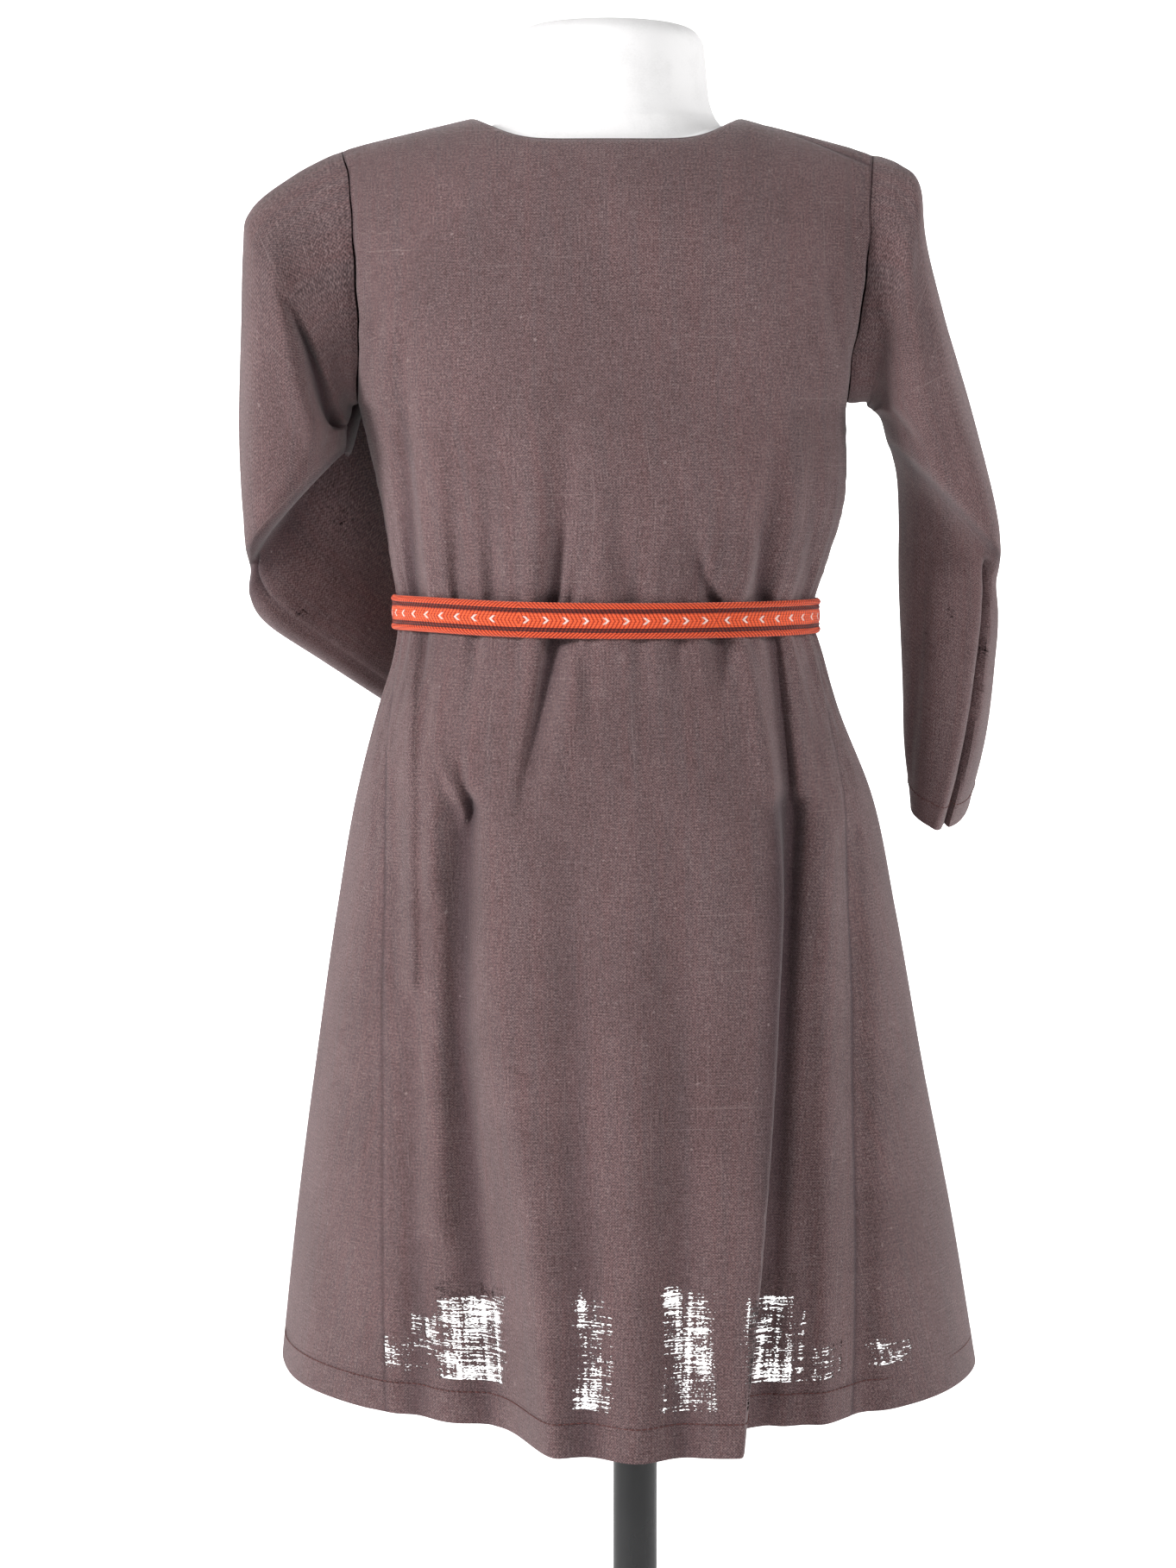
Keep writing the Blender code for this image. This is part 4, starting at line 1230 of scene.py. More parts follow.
@dataclass(frozen=True)
class StandPaint:
    """Black paint on the stand, half gloss, with faint scuffs."""

    black: Colour = (0.010, 0.010, 0.011, 1.0)
    worn: Colour = (0.035, 0.034, 0.033, 1.0)
    scuffs: Triple = (35.0, 35.0, 12.0)
    grain: Triple = (1400.0, 1400.0, 1400.0)

    def make(self, name: str) -> Material:
        """The finish."""
        material, n, shader = principled(name)
        spot = n.add("ShaderNodeTexCoord").outputs["Object"]
        scuff = n.noise(spot, self.scuffs, 5.0)
        base = n.blend(n.ramp(scuff, 0.55, 0.75), self.black, self.worn)
        gloss = n.ramp(scuff, 0.35, 0.7, (0.26, 0.46))
        bump = n.bump(n.noise(spot, self.grain), 0.0001, 0.25)
        n.fill(shader, {"Base Color": base, "Roughness": gloss, "Normal": bump})
        return material


# Rings along one stitch: share of its length, rise and thickness, both in radii of the thread.
STITCH_RINGS = ((0.0, -0.6, 0.45), (0.12, 0.35, 0.95), (0.5, 0.6, 1.0), (0.88, 0.35, 0.95), (1.0, -0.6, 0.45))


def stitches(
    name: str, path: Grid, normals: Grid, stitch: Stitch, material: Material
) -> Piece:
    """A row of stitches, each a short thread that lies on the cloth.

    Args:
        name: the piece's name.
        path: points along the row, in millimetres.
        normals: the cloth's normals there.
        stitch: the sizes of one stitch.
        material: its finish.

    Returns:
        One mesh of all the stitches.
    """
    length, gap, radius = stitch
    steps = np.linalg.norm(np.diff(path, axis=0), axis=1)
    run = np.concatenate([[0.0], np.cumsum(steps)])
    starts = np.arange(0.5 * gap, run[-1] - length, length + gap)
    shares, rises, fat = (np.array(values) for values in zip(*STITCH_RINGS))
    sides = 6
    turns = np.linspace(0.0, 2.0 * math.pi, sides, endpoint=False)
    points, faces = [], []
    for start in starts:
        at = start + shares * length
        centre = np.stack([np.interp(at, run, path[:, k]) for k in range(3)], axis=1)
        up = unit(np.stack([np.interp(at, run, normals[:, k]) for k in range(3)], axis=1))
        centre = centre + up * (rises * radius)[:, None]
        ahead = unit(centre[-1] - centre[0])
        across = unit(np.cross(up, ahead))
        ring = np.cos(turns)[None, :, None] * across[:, None] + np.sin(turns)[None, :, None] * up[:, None]
        first = len(points) * len(shares) * sides
        points.append((centre[:, None] + ring * (radius * fat)[:, None, None]).reshape(-1, 3))
        faces.extend(grid_faces(len(shares), sides, True, first).tolist())
        faces.append(list(range(first, first + sides)))
        last = first + (len(shares) - 1) * sides
        faces.append(list(range(last, last + sides)))
    return new_piece(name, np.concatenate(points), faces, None, material)


@dataclass
class Dress:
    """The linen dress: two panels, two gores, two sleeves and their sewing."""

    cut: Cut
    groups: Groups
    linen: Linen = field(default_factory=Linen)
    thickness: float = 1.0
    hem_extra: float = 0.9
    hem_turn: float = 22.0
    stitch_height: float = 15.5
    seam_gap: float = 0.03
    panel_columns: tuple[int, int] = (190, 130)
    low_rows: int = 150
    high_rows: int = 60
    sleeve_turns: int = 88
    sleeve_rows: int = 150
    deep_fold: float = 9.0
    sleeve_thin: float = 0.62
    thin_from: tuple[float, float] = (0.55, 0.65)
    shadow_dark: float = 0.8
    elbow_shadow: dict[Hand, tuple[float, float]] = field(
        default_factory=lambda: {Hand.LEFT: (0.49, 0.86), Hand.RIGHT: (0.46, 0.62)}
    )
    seam_dip: float = 0.9
    seam_reach: float = 3.0
    seam_width: float = 1.6
    seam_dark: float = 0.8
    pucker: float = 0.6
    pucker_wave: float = 0.55
    pucker_from_seam: float = 6.0
    pucker_reach: float = 5.0
    gore_pucker: float = 1.4
    seam_close: float = 14.0
    neck_curve: dict[Side, float] = field(default_factory=lambda: {Side.FRONT: 2.6, Side.BACK: 6.0})
    seam_slope: float = 0.7
    high_crowding: float = 1.35
    gore_steps: tuple[int, int] = (140, 70)
    gore_above: float = 8.0
    gore_radius: float = 190.0
    gore_wave: float = 2.4
    sleeve_square: float = 2.3
    sleeve_swell: float = 0.9
    armhole_blend: float = 5.0
    cuff_turn: tuple[float, float] = (0.72, 0.95)
    cuff_stitch_height: float = 0.012
    crease_outside: float = 0.05
    crease_inside: float = 0.02
    swell_grain: tuple[float, float] = (17.0, 9.0)
    swell_from: tuple[float, float] = (0.02, 0.2)
    armhole_reach: float = 0.012
    elbow_fade: tuple[float, float] = (0.05, 0.14)
    gore_waves: tuple[float, float] = (9.0, 2.0)
    sleeve_round: float = 0.30
    thread_lift: float = 0.15
    hem_steps: int = 900
    hem_stitch: Stitch = Stitch(2.6, 0.6, 0.32)
    cuff_stitch: Stitch = Stitch(2.4, 0.7, 0.26)
    sleeves: dict[Hand, tuple[SleeveSection, ...]] = field(
        default_factory=lambda: {
            Hand.LEFT: (
                SleeveSection((182, -1, 959), (152, 0, 837), 38),
                SleeveSection((205, 0, 940.5), (153, 0, 834), 41),
                SleeveSection((209.5, 2, 917), (154, -1, 831), 43),
                SleeveSection((211.5, 4, 838), (155, -2, 828), 45),
                SleeveSection((211, 3, 790), (155, -3, 824), 43),
                SleeveSection((209.5, 0, 764), (155, -5, 817), 41),
                SleeveSection((208, -4, 755), (154, -14, 815), 33),
                SleeveSection((207.5, -8, 750), (147, -36, 846), 25),
                SleeveSection((208.5, -10, 735), (140, -58, 856), 23),
                SleeveSection((199, -18, 719), (134, -72, 842), 22),
                SleeveSection((171, -46, 697), (122, -96, 804), 20),
                SleeveSection((128, -94, 664), (96, -128, 756), 17),
            ),
            Hand.RIGHT: (
                SleeveSection((-139.5, -1, 964.5), (-122.5, 0, 839), 38),
                SleeveSection((-150, 0, 953.5), (-124, 0, 837), 41),
                SleeveSection((-155, 2, 917), (-126, -1, 836), 43),
                SleeveSection((-179, 4, 832), (-128, -2, 834), 44),
                SleeveSection((-192, 3, 784), (-131, -3, 830), 41),
                SleeveSection((-195, 0, 762), (-134, -5, 820), 38),
                SleeveSection((-195, -5, 752), (-138, -14, 812), 31),
                SleeveSection((-194, -10, 742), (-142, -24, 798), 27),
                SleeveSection((-196, -16, 726), (-144, -30, 775), 28),
                SleeveSection((-197, -26, 706), (-145, -36, 741), 33),
                SleeveSection((-195, -38, 668), (-149, -46, 690), 36),
                SleeveSection((-191, -46, 640), (-152, -54, 655), 37),
                SleeveSection((-184, -54, 611), (-158, -60, 625), 38),
            ),
        }
    )
    sleeve_creases: dict[Hand, tuple[SleeveCrease, ...]] = field(
        default_factory=lambda: {
            Hand.LEFT: (
                SleeveCrease(0.20, 104.0, 0.36, 150.0, 17.0, 10.0),
                SleeveCrease(0.16, 74.0, 0.42, 110.0, 12.0, -3.5),
                SleeveCrease(0.30, 150.0, 0.42, 168.0, 6.0, 3.5),
                SleeveCrease(0.66, 24.0, 1.0, 26.0, 4.0, 2.4),
                SleeveCrease(0.7, 60.0, 0.95, 80.0, 12.0, 2.0),
                SleeveCrease(0.3, 250.0, 0.55, 300.0, 14.0, 2.5),
            ),
            Hand.RIGHT: (
                SleeveCrease(0.60, 34.0, 1.0, 50.0, 5.5, 7.0),
                SleeveCrease(0.60, 52.0, 1.0, 68.0, 9.0, -2.0),
                SleeveCrease(0.1, 50.0, 0.4, 80.0, 14.0, 2.5),
                SleeveCrease(0.15, 150.0, 0.38, 120.0, 9.0, 2.2),
                SleeveCrease(0.7, 110.0, 0.95, 130.0, 10.0, 1.8),
                SleeveCrease(0.35, 240.0, 0.6, 290.0, 14.0, 2.5),
            ),
        }
    )

    def top_angle(self, theta: Grid, side: Side) -> Grid:
        """How far over the shoulder a panel's top edge lies.

        Args:
            theta: degrees round, for each column.
            side: back or front.

        Returns:
            The angle for each column.
        """
        cut = self.cut
        mix = 0.5 * (1.0 + np.cos(np.radians(theta)))
        x = cut.tip_right[0] + mix * (cut.tip_left[0] - cut.tip_right[0])
        centre, half = 0.5 * (cut.neck_left_x + cut.neck_right_x), 0.5 * (cut.neck_left_x - cut.neck_right_x)
        across = np.clip(np.abs((x - centre) / half), 0.0, 1.0)
        low = cut.front_neck_angle if side is Side.FRONT else cut.back_neck_angle
        neck = low + (90.0 - low) * across ** self.neck_curve[side]
        past = np.clip((cut.neck_right_x - x) / (cut.neck_right_x - cut.tip_right[0]), 0.0, 1.0)
        shoulder = 90.0 - side.value * cut.seam_behind_crest * past**self.seam_slope
        return np.where(across < 1.0, neck, shoulder)

    def seam_angle(self, hand: Hand, side: Side, z: Grid) -> Grid:
        """Where a gore's seam runs, in degrees round from the side, closing above the gore."""
        cut = self.cut
        column = f"{hand.name.lower()}_{side.name.lower()}"
        angle = along(cut.gore_seams, "z", column, z)
        return angle * (1.0 - smooth_step(cut.gore_top_z, cut.gore_top_z + self.seam_close, z))

    def panel_grid(self, side: Side) -> tuple[Grid, Grid]:
        """A panel's points, as angles round and heights."""
        cut = self.cut
        columns = self.panel_columns[0 if side is Side.BACK else 1]
        steps = np.linspace(0.0, 1.0, columns)
        z = np.linspace(cut.hem_z, cut.underarm_z, self.low_rows, endpoint=False)
        left, right = self.seam_angle(Hand.LEFT, side, z), self.seam_angle(Hand.RIGHT, side, z)
        low_theta = left[:, None] + steps * (180.0 - right - left)[:, None]
        t = 1.0 - (1.0 - np.linspace(0.0, 1.0, self.high_rows)) ** self.high_crowding
        high_theta = np.repeat(180.0 * steps[None], self.high_rows, axis=0)
        theta = np.clip(np.concatenate([low_theta, high_theta]), EDGE_ANGLE, 180.0 - EDGE_ANGLE)
        high_v = cut.underarm_z + EDGE_ANGLE + t[:, None] * self.top_angle(180.0 * steps, side)
        return theta * side.value, np.concatenate([np.repeat(z[:, None], columns, axis=1), high_v])

    def seam_relief(self, points: Grid, pucker: float, top: bool = True) -> Grid:
        """How far the cloth dips and puckers beside its seams.

        Args:
            points: a grid of points in millimetres.
            pucker: how strongly the cloth puckers beside its side seams.
            top: whether the last row is a seam.

        Returns:
            The dip at each point.
        """
        from_side, rise, from_top = edge_distances(points)
        wave = 0.6 + 0.4 * ripple(rise * self.pucker_wave, 3.0)
        dip = self.seam_dip * np.exp(-((from_side / self.seam_reach) ** 2))
        beside = np.exp(-(((from_side - self.pucker_from_seam) / self.pucker_reach) ** 2))
        dip = dip + pucker * wave * beside
        if top:
            dip = np.maximum(dip, self.seam_dip * np.exp(-((from_top / self.seam_reach) ** 2)))
        return dip

    def seam_line(self, points: Grid, top: bool) -> Grid:
        """A thin dark line where a piece meets its neighbours.

        Args:
            points: a grid of points in millimetres.
            top: whether the last row is such an edge too.

        Returns:
            The line's strength at each point.
        """
        from_side, _, from_top = edge_distances(points)
        nearest = np.minimum(from_side, from_top) if top else from_side
        line = np.exp(-((nearest / self.seam_width) ** 2))
        return self.seam_dark * line

    def shell(
        self,
        name: str,
        outer: Grid,
        normals: Grid,
        places: Grid,
        material: Material,
        marks: tuple[Grid, Grid],
        wrap: float = 0.0,
    ) -> Piece:
        """A piece of cloth with its real thickness, doubled at its turned hem.

        Args:
            name: the piece's name.
            outer: its outer face, a grid of points in millimetres.
            normals: the outward normals.
            places: where each point lies in the flat cloth.
            material: its finish.
            marks: how much painted shade darkens each point, for the depth of its fold, with the dark seam
                lines, and how thin the cloth is there, from 0 to 1.
            wrap: how long the cloth is round a closed ring, in metres, or 0 for an open piece.

        Returns:
            The piece.
        """
        from_hem = places[..., 1] / MM
        turned = 1.0 - smooth_step(self.hem_turn - 0.8, self.hem_turn, from_hem)
        thick = self.thickness + self.hem_extra * turned
        inner = outer - normals * thick[..., None]
        return wall(name, outer, inner, places, material, wrap, dict(zip(("Fold", "Thin"), marks)))

    def panel(self, side: Side) -> Piece:
        """The back or the front, from hem to shoulder.

        Args:
            side: which of the two.

        Returns:
            The piece.
        """
        cut = self.cut
        theta, v = self.panel_grid(side)
        above = v > cut.underarm_z
        low, high = sorted((side.value * EDGE_ANGLE, side.value * (180.0 - EDGE_ANGLE)))
        normals = cut.normals(theta, v, np.where(above, low, -NO_LIMIT), np.where(above, high, NO_LIMIT))
        outer = cut.surface(theta, v)
        outer = outer - normals * self.seam_relief(outer, self.pucker)[..., None]
        outer[:, 0, 0] -= self.seam_gap
        outer[:, -1, 0] += self.seam_gap
        outer[-1, :, 1] += side.value * self.seam_gap
        for column in (0, -1):
            at_side = ~above[:, column] & (v[:, column] > cut.gore_top_z + self.seam_close)
            off_middle = np.maximum(side.value * outer[at_side, column, 1], self.seam_gap)
            outer[at_side, column, 1] = side.value * off_middle
        places = self.straight_grain(outer, cloth_places(outer, outer.shape[1] // 2))
        folds = cut.back_folds if side is Side.BACK else cut.front_folds
        # Painted shade in each crease, by its depth, with dark lines at the seams.
        deep = cut.crease_depth(outer[..., 0], outer[..., 2], folds) / self.deep_fold
        deep = np.clip(deep, 0.0, 1.2) + self.seam_line(outer, True)
        thin = cut.thinness(outer[..., 0], places[..., 1] / MM) * (side is Side.BACK)
        word = side.name.lower()
        material = self.linen.make(f"{word} linen", self.groups)
        piece = self.shell(f"{word}_cloth", outer, normals, places, material, (deep, thin))
        settle(piece, f"{word}_panel")
        return piece

    def straight_grain(self, points: Grid, places: Grid) -> Grid:
        """Above the underarm, lays the threads level and upright, whatever way the rows run.

        Args:
            points: a panel's grid of points in millimetres.
            places: where each lies in the flat cloth.

        Returns:
            The new places.
        """
        row, middle = self.low_rows, points.shape[1] // 2
        order = np.argsort(points[row, :, 0])
        high = points[row:]
        ends = points[row, order[[0, -1]], 0]
        beyond = high[..., 0] - np.clip(high[..., 0], *ends)
        sense = np.sign(places[row, order[-1], 0] - places[row, order[0], 0])
        within = np.interp(high[..., 0], points[row, order, 0], places[row, order, 0])
        places[row:, :, 0] = within + sense * beyond * MM
        rise = np.maximum.accumulate(points[:, middle, 2])
        past = np.clip(high[..., 2] - rise[-1], 0.0, None) * MM
        places[row:, :, 1] = np.interp(high[..., 2], rise, places[:, middle, 1]) + past
        return places

    def gore(self, hand: Hand) -> Piece:
        """A gore, let in between the two panels from the waist to the hem.

        Args:
            hand: left or right.

        Returns:
            The piece.
        """
        cut = self.cut
        rows, columns = self.gore_steps
        z = np.linspace(cut.hem_z, cut.gore_top_z + self.gore_above, rows)
        back, front = (self.seam_angle(hand, side, z) for side in Side)
        gap = math.degrees(self.seam_gap / self.gore_radius)
        steps = np.linspace(0.0, 1.0, columns)
        theta = (back - gap)[:, None] - steps * (back + front - 2.0 * gap)[:, None]
        if hand is Hand.RIGHT:
            theta = 180.0 - theta
        v = np.repeat(z[:, None], columns, axis=1)
        normals = cut.normals(theta, v)
        outer = cut.surface(theta, v)
        from_back = steps[None] * np.ones_like(v)
        up = (v - cut.hem_z) / (cut.gore_top_z - cut.hem_z)
        across, upward = self.gore_waves
        wave = ripple(across * from_back + upward * up, 1.0 + hand.value)
        waves = self.gore_wave * (1.0 - up) * np.sin(np.pi * from_back) * wave
        outer = outer + normals * (waves - self.seam_relief(outer, self.gore_pucker, False))[..., None]
        places = cloth_places(outer, columns // 2)
        word = hand.name.lower()
        material = self.linen.make(f"gore linen {word}", self.groups)
        thin = cut.thinness(outer[..., 0], v - cut.hem_z) * (outer[..., 1] > 0.0)
        marks = (self.seam_line(outer, False), thin)
        piece = self.shell(f"gore_cloth_{word}", outer, normals, places, material, marks)
        settle(piece, f"gore_{word}")
        return piece

    def sleeve_rings(self, hand: Hand, inset: float = 0.0) -> tuple[Grid, Grid]:
        """A sleeve's rings from the armhole to the cuff.

        Args:
            hand: left or right.
            inset: how far inside the outer face.

        Returns:
            The points and, for each ring, its middle.
        """
        cut = self.cut
        turns = np.linspace(0.0, 2.0 * math.pi, self.sleeve_turns, endpoint=False)
        _, tip_z = cut.tip(hand)
        top = (float(cut.armhole_x(tip_z, hand)), 0.0, tip_z)
        foot = (float(cut.armhole_x(cut.underarm_z, hand)), 0.0, cut.underarm_z)
        sections = (SleeveSection(top, foot, cut.armhole_half), *self.sleeves[hand])
        count = self.sleeve_rows
        outer = catmull([section.outer for section in sections], count)
        inner = catmull([section.inner for section in sections], count)
        thick = catmull([[section.half_thick] for section in sections], count)[:, 0]
        centre, chord = 0.5 * (outer + inner), 0.5 * (outer - inner)
        path = np.gradient(centre, axis=0)
        c, s = np.cos(turns), np.sin(turns)
        power = 2.0 / self.sleeve_square
        round_x, round_y = np.sign(c) * np.abs(c) ** power, np.sign(s) * np.abs(s) ** power
        length = np.linalg.norm(chord, axis=1)
        backward = np.array([[0.0, 1.0, 0.0]])
        level = unit(backward - (unit(chord) @ backward.T) * unit(chord))
        turned = smooth_step(*self.cuff_turn, np.linspace(0.0, 1.0, count))[:, None]
        across = unit(level * (1.0 - turned) + unit(hand.value * np.cross(chord, path)) * turned)
        rings = (
            centre[:, None]
            + round_x[None, :, None] * (unit(chord) * (length - inset)[:, None])[:, None]
            + round_y[None, :, None] * (across * (thick - inset)[:, None])[:, None]
        )
        power = 2.0 / cut.armhole_square
        middle, half = 0.5 * (tip_z + cut.underarm_z), 0.5 * (tip_z - cut.underarm_z)
        z = middle + (half - inset) * np.sign(c) * np.abs(c) ** power
        y = (cut.armhole_half - inset) * np.sign(s) * np.abs(s) ** power
        x = cut.armhole_x(z, hand) + hand.value * self.seam_gap
        seam = np.stack([x, y, z], axis=-1)
        near = np.exp(-np.arange(count) / self.armhole_blend)[:, None, None]
        rings = rings + (seam - rings[0])[None] * near
        return rings, centre

    def sleeve(self, hand: Hand) -> list[Piece]:
        """A long sleeve with its folds, from the armhole to the cuff.

        Args:
            hand: left or right.

        Returns:
            The sleeve and the stitches of its cuff.
        """
        rings, centre = self.sleeve_rings(hand)
        along_sleeve = np.linspace(0.0, 1.0, len(rings))[:, None]
        turns = np.linspace(0.0, 360.0, rings.shape[1], endpoint=False)[None]
        outward = unit(rings - centre[:, None])
        dip = np.zeros(rings.shape[:2])
        for crease in self.sleeve_creases[hand]:
            t = np.clip((along_sleeve - crease.start) / (crease.end - crease.start), 0.0, 1.0)
            at = crease.start_turn + t * (crease.end_turn - crease.start_turn)
            apart = np.abs((turns - at + 180.0) % 360.0 - 180.0)
            before, within = crease.start - self.crease_outside, crease.start + self.crease_inside
            ends = smooth_step(before, within, along_sleeve)
            if crease.end < 1.0:
                within, after = crease.end - self.crease_inside, crease.end + self.crease_outside
                ends = ends * (1.0 - smooth_step(within, after, along_sleeve))
            dip = dip + crease.depth * ends * np.exp(-((apart / crease.width) ** 2))
        round_grain, long_grain = self.swell_grain
        swell = self.sleeve_swell * ripple(turns / round_grain + along_sleeve * long_grain, 2.0)
        soft = swell * smooth_step(*self.swell_from, along_sleeve)
        seam = self.seam_dip * np.exp(-((along_sleeve / self.armhole_reach) ** 2)) * np.ones_like(turns)
        rings = rings - outward * (dip + seam - soft)[..., None]
        ahead = np.gradient(rings, axis=0)
        round_it = np.roll(rings, -1, axis=1) - np.roll(rings, 1, axis=1)
        normals = unit(np.cross(round_it, ahead))
        normals = normals * np.sign((normals * outward).sum(axis=-1).mean())
        path = np.linalg.norm(np.diff(centre[::-1], axis=0), axis=-1)
        up = np.concatenate([[0.0], np.cumsum(path)])[::-1, None] * MM
        places = np.stack([turns / 360.0 * self.sleeve_round + 0.0 * up, up + 0.0 * turns], axis=-1)
        word = hand.name.lower()
        material = self.linen.make(f"sleeve linen {word}", self.groups)
        # Painted shadow on the forearm just past the elbow's fold, added to painted shade in the creases.
        low, high = self.elbow_shadow[hand]
        rise, fall = self.elbow_fade
        past_elbow = 1.0 - smooth_step(high - fall, high, along_sleeve)
        behind = smooth_step(low, low + rise, along_sleeve) * past_elbow
        deep = np.clip(dip / self.deep_fold, 0.0, 1.0) + self.shadow_dark * behind
        thin = self.sleeve_thin * smooth_step(*self.thin_from, along_sleeve) * np.ones_like(turns)
        marks = (deep, thin)
        piece = self.shell(f"sleeve_cloth_{word}", rings, normals, places, material, marks, self.sleeve_round)
        settle(piece, f"sleeve_{word}")
        row = int(np.argmin(np.abs(up[:, 0] - self.cuff_stitch_height)))
        around = np.concatenate([normals[row], normals[row, :1]])
        path = np.concatenate([rings[row], rings[row, :1]]) + self.thread_lift * around
        thread = Thread().make(f"cuff thread {word}")
        sewing = stitches(f"cuff_stitches_{word}", path, around, self.cuff_stitch, thread)
        return [piece, settle(sewing)]

    def hem_row(self) -> Piece:
        """The hem's stitch line, all round the skirt.

        Returns:
            The piece.
        """
        theta = np.linspace(-180.0, 180.0, self.hem_steps)
        v = np.full_like(theta, self.cut.hem_z + self.stitch_height)
        normals = self.cut.normals(theta, v)
        path = self.cut.surface(theta, v) + normals * self.thread_lift
        thread = Thread().make("hem thread")
        return settle(stitches("hem_stitches", path, normals, self.hem_stitch, thread))

    def build(self) -> list[Piece]:
        """All pieces of the dress."""
        pieces = [self.panel(side) for side in Side]
        pieces += [self.gore(hand) for hand in Hand]
        pieces += [piece for hand in Hand for piece in self.sleeve(hand)]
        pieces.append(self.hem_row())
        return pieces


@dataclass
class Belt:
    """The woven belt: its band, the flat knot in front and two free ends."""

    cut: Cut
    weave: TabletWeave = field(default_factory=TabletWeave)
    height: float = 18.5
    clearance: float = 2.0
    back_gap: float = 0.35
    left_rise: float = 2.2
    left_rise_x: float = 128.0
    left_rise_reach: float = 45.0
    sway: float = 0.5
    cord_depth: float = 0.14
    cord_pitch: float = 1.9
    cord_rise: float = 0.6
    turns_from_middle: tuple[float, float] = (-0.047, 0.062)
    columns: int = 900
    half_ridges: tuple[tuple[float, float], ...] = (
        (0.0, 0.5),
        (0.04, 1.3),
        (0.10, 1.75),
        (0.16, 1.3),
        (0.20, 0.85),
        (0.25, 1.25),
        (0.30, 0.95),
        (0.40, 1.35),
        (0.50, 1.45),
    )
    knot_height: float = 26.0
    knot_grid: tuple[int, int] = (33, 64)
    knot_square: float = 0.45
    knot_flat: float = 0.6
    knot_slant: float = 0.75
    knot_grooves: tuple[float, float] = (0.55, -0.55)
    knot_groove_width: float = 0.10
    knot_groove_depth: float = 0.09
    knot_pattern: float = 0.33
    end_rows: int = 150
    end_angles: tuple[float, float, int] = (-150.0, -30.0, 361)
    end_sway: float = 1.2
    end_waves: float = 5.0
    end_gap: float = 0.3
    end_length: float = 210.0
    end_shorter: float = 18.0
    end_clearance: float = 1.3
    end_from_knot: float = 4.0

    def ridges(self) -> tuple[Grid, Grid]:
        """The belt's section: shares of its height, and how far it stands out at each."""
        share, rise = np.array(self.half_ridges).T
        return np.concatenate([share, 1.0 - share[-2::-1]]), np.concatenate([rise, rise[-2::-1]])

    def ring(self) -> tuple[Grid, Grid]:
        """The waist line that the belt follows, and its normals, starting in front."""
        theta = np.linspace(-90.0, 270.0, self.columns, endpoint=False)
        flat = np.full_like(theta, self.cut.waist_z)
        line = self.cut.plain(theta, flat)
        ahead = self.cut.plain(theta + 0.5, flat) - self.cut.plain(theta - 0.5, flat)
        normals = unit(np.cross(ahead, np.array([0.0, 0.0, 1.0])))
        return line, normals

    def band(self) -> Piece:
        """The band round the waist.

        Returns:
            The piece.
        """
        line, normals = self.ring()
        share, rise = self.ridges()
        run = np.concatenate([[0.0], np.cumsum(np.linalg.norm(np.diff(line, axis=0), axis=1))])
        raised = np.exp(-(((line[:, 0] - self.left_rise_x) / self.left_rise_reach) ** 2))
        sway = self.sway * ripple(run / 60.0, 4.0) + self.left_rise * raised
        twist = self.cord_depth * np.sin(2.0 * math.pi * (run[None] / self.cord_pitch + share[:, None] * 2.0))
        z = self.cut.waist_z + (share - 0.5)[:, None] * self.height + sway[None]
        out = self.clearance + rise[:, None] + twist * (rise[:, None] > self.cord_rise)
        outer = line[None] + normals[None] * out[..., None]
        inner = line[None] + normals[None] * np.full_like(out, self.clearance - self.back_gap)[..., None]
        outer[..., 2] = inner[..., 2] = z
        belt_round = run[-1] * MM
        turns_at = tuple(0.5 * belt_round + at for at in self.turns_from_middle)
        material = self.weave.make("belt weave", turns_at)
        places = np.stack(np.broadcast_arrays(run[None] * MM, share[:, None]), axis=-1)
        piece = wall("belt_weave_band", outer, inner, places, material, belt_round)
        settle(piece, "belt_band")
        return piece

    def knot(self) -> Piece:
        """The flat knot: a rounded block with the belt's turns crossing over it.

        Returns:
            The piece.
        """
        low, high = (np.array(corner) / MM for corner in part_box("belt_knot"))
        middle, half = 0.5 * (low + high), 0.5 * (high - low)
        rows, columns = self.knot_grid
        lat = np.linspace(-0.5 * math.pi, 0.5 * math.pi, rows)[:, None]
        lon = np.linspace(0.0, 2.0 * math.pi, columns, endpoint=False)[None]

        def boxy(value: Grid, power: float) -> Grid:
            """A sine or cosine squared off."""
            return np.sign(value) * np.abs(value) ** power

        x = half[0] * boxy(np.cos(lat), self.knot_square) * boxy(np.cos(lon), 0.5)
        y = half[1] * boxy(np.cos(lat), self.knot_square) * boxy(np.sin(lon), self.knot_flat)
        z = half[2] * boxy(np.sin(lat), 0.5) * np.ones_like(lon)
        points = np.stack([x, y, z], axis=-1)
        slant = (points[..., 0] * self.knot_slant + points[..., 2]) / half[2]
        groove = sum(np.exp(-(((slant - at) / self.knot_groove_width) ** 2)) for at in self.knot_grooves)
        points = points * (1.0 - self.knot_groove_depth * groove)[..., None] + middle
        uv = np.stack([points[..., 0] * MM, 0.5 + self.knot_pattern * slant], axis=-1)
        material = self.weave.make("knot weave", NO_TURN)
        points, uv, faces = points.reshape(-1, 3), uv.reshape(-1, 2), grid_faces(rows, columns, True)
        piece = new_piece("belt_weave_knot", points, faces, uv, material)
        weld(piece, 0.00002)
        return settle(piece, "belt_knot")

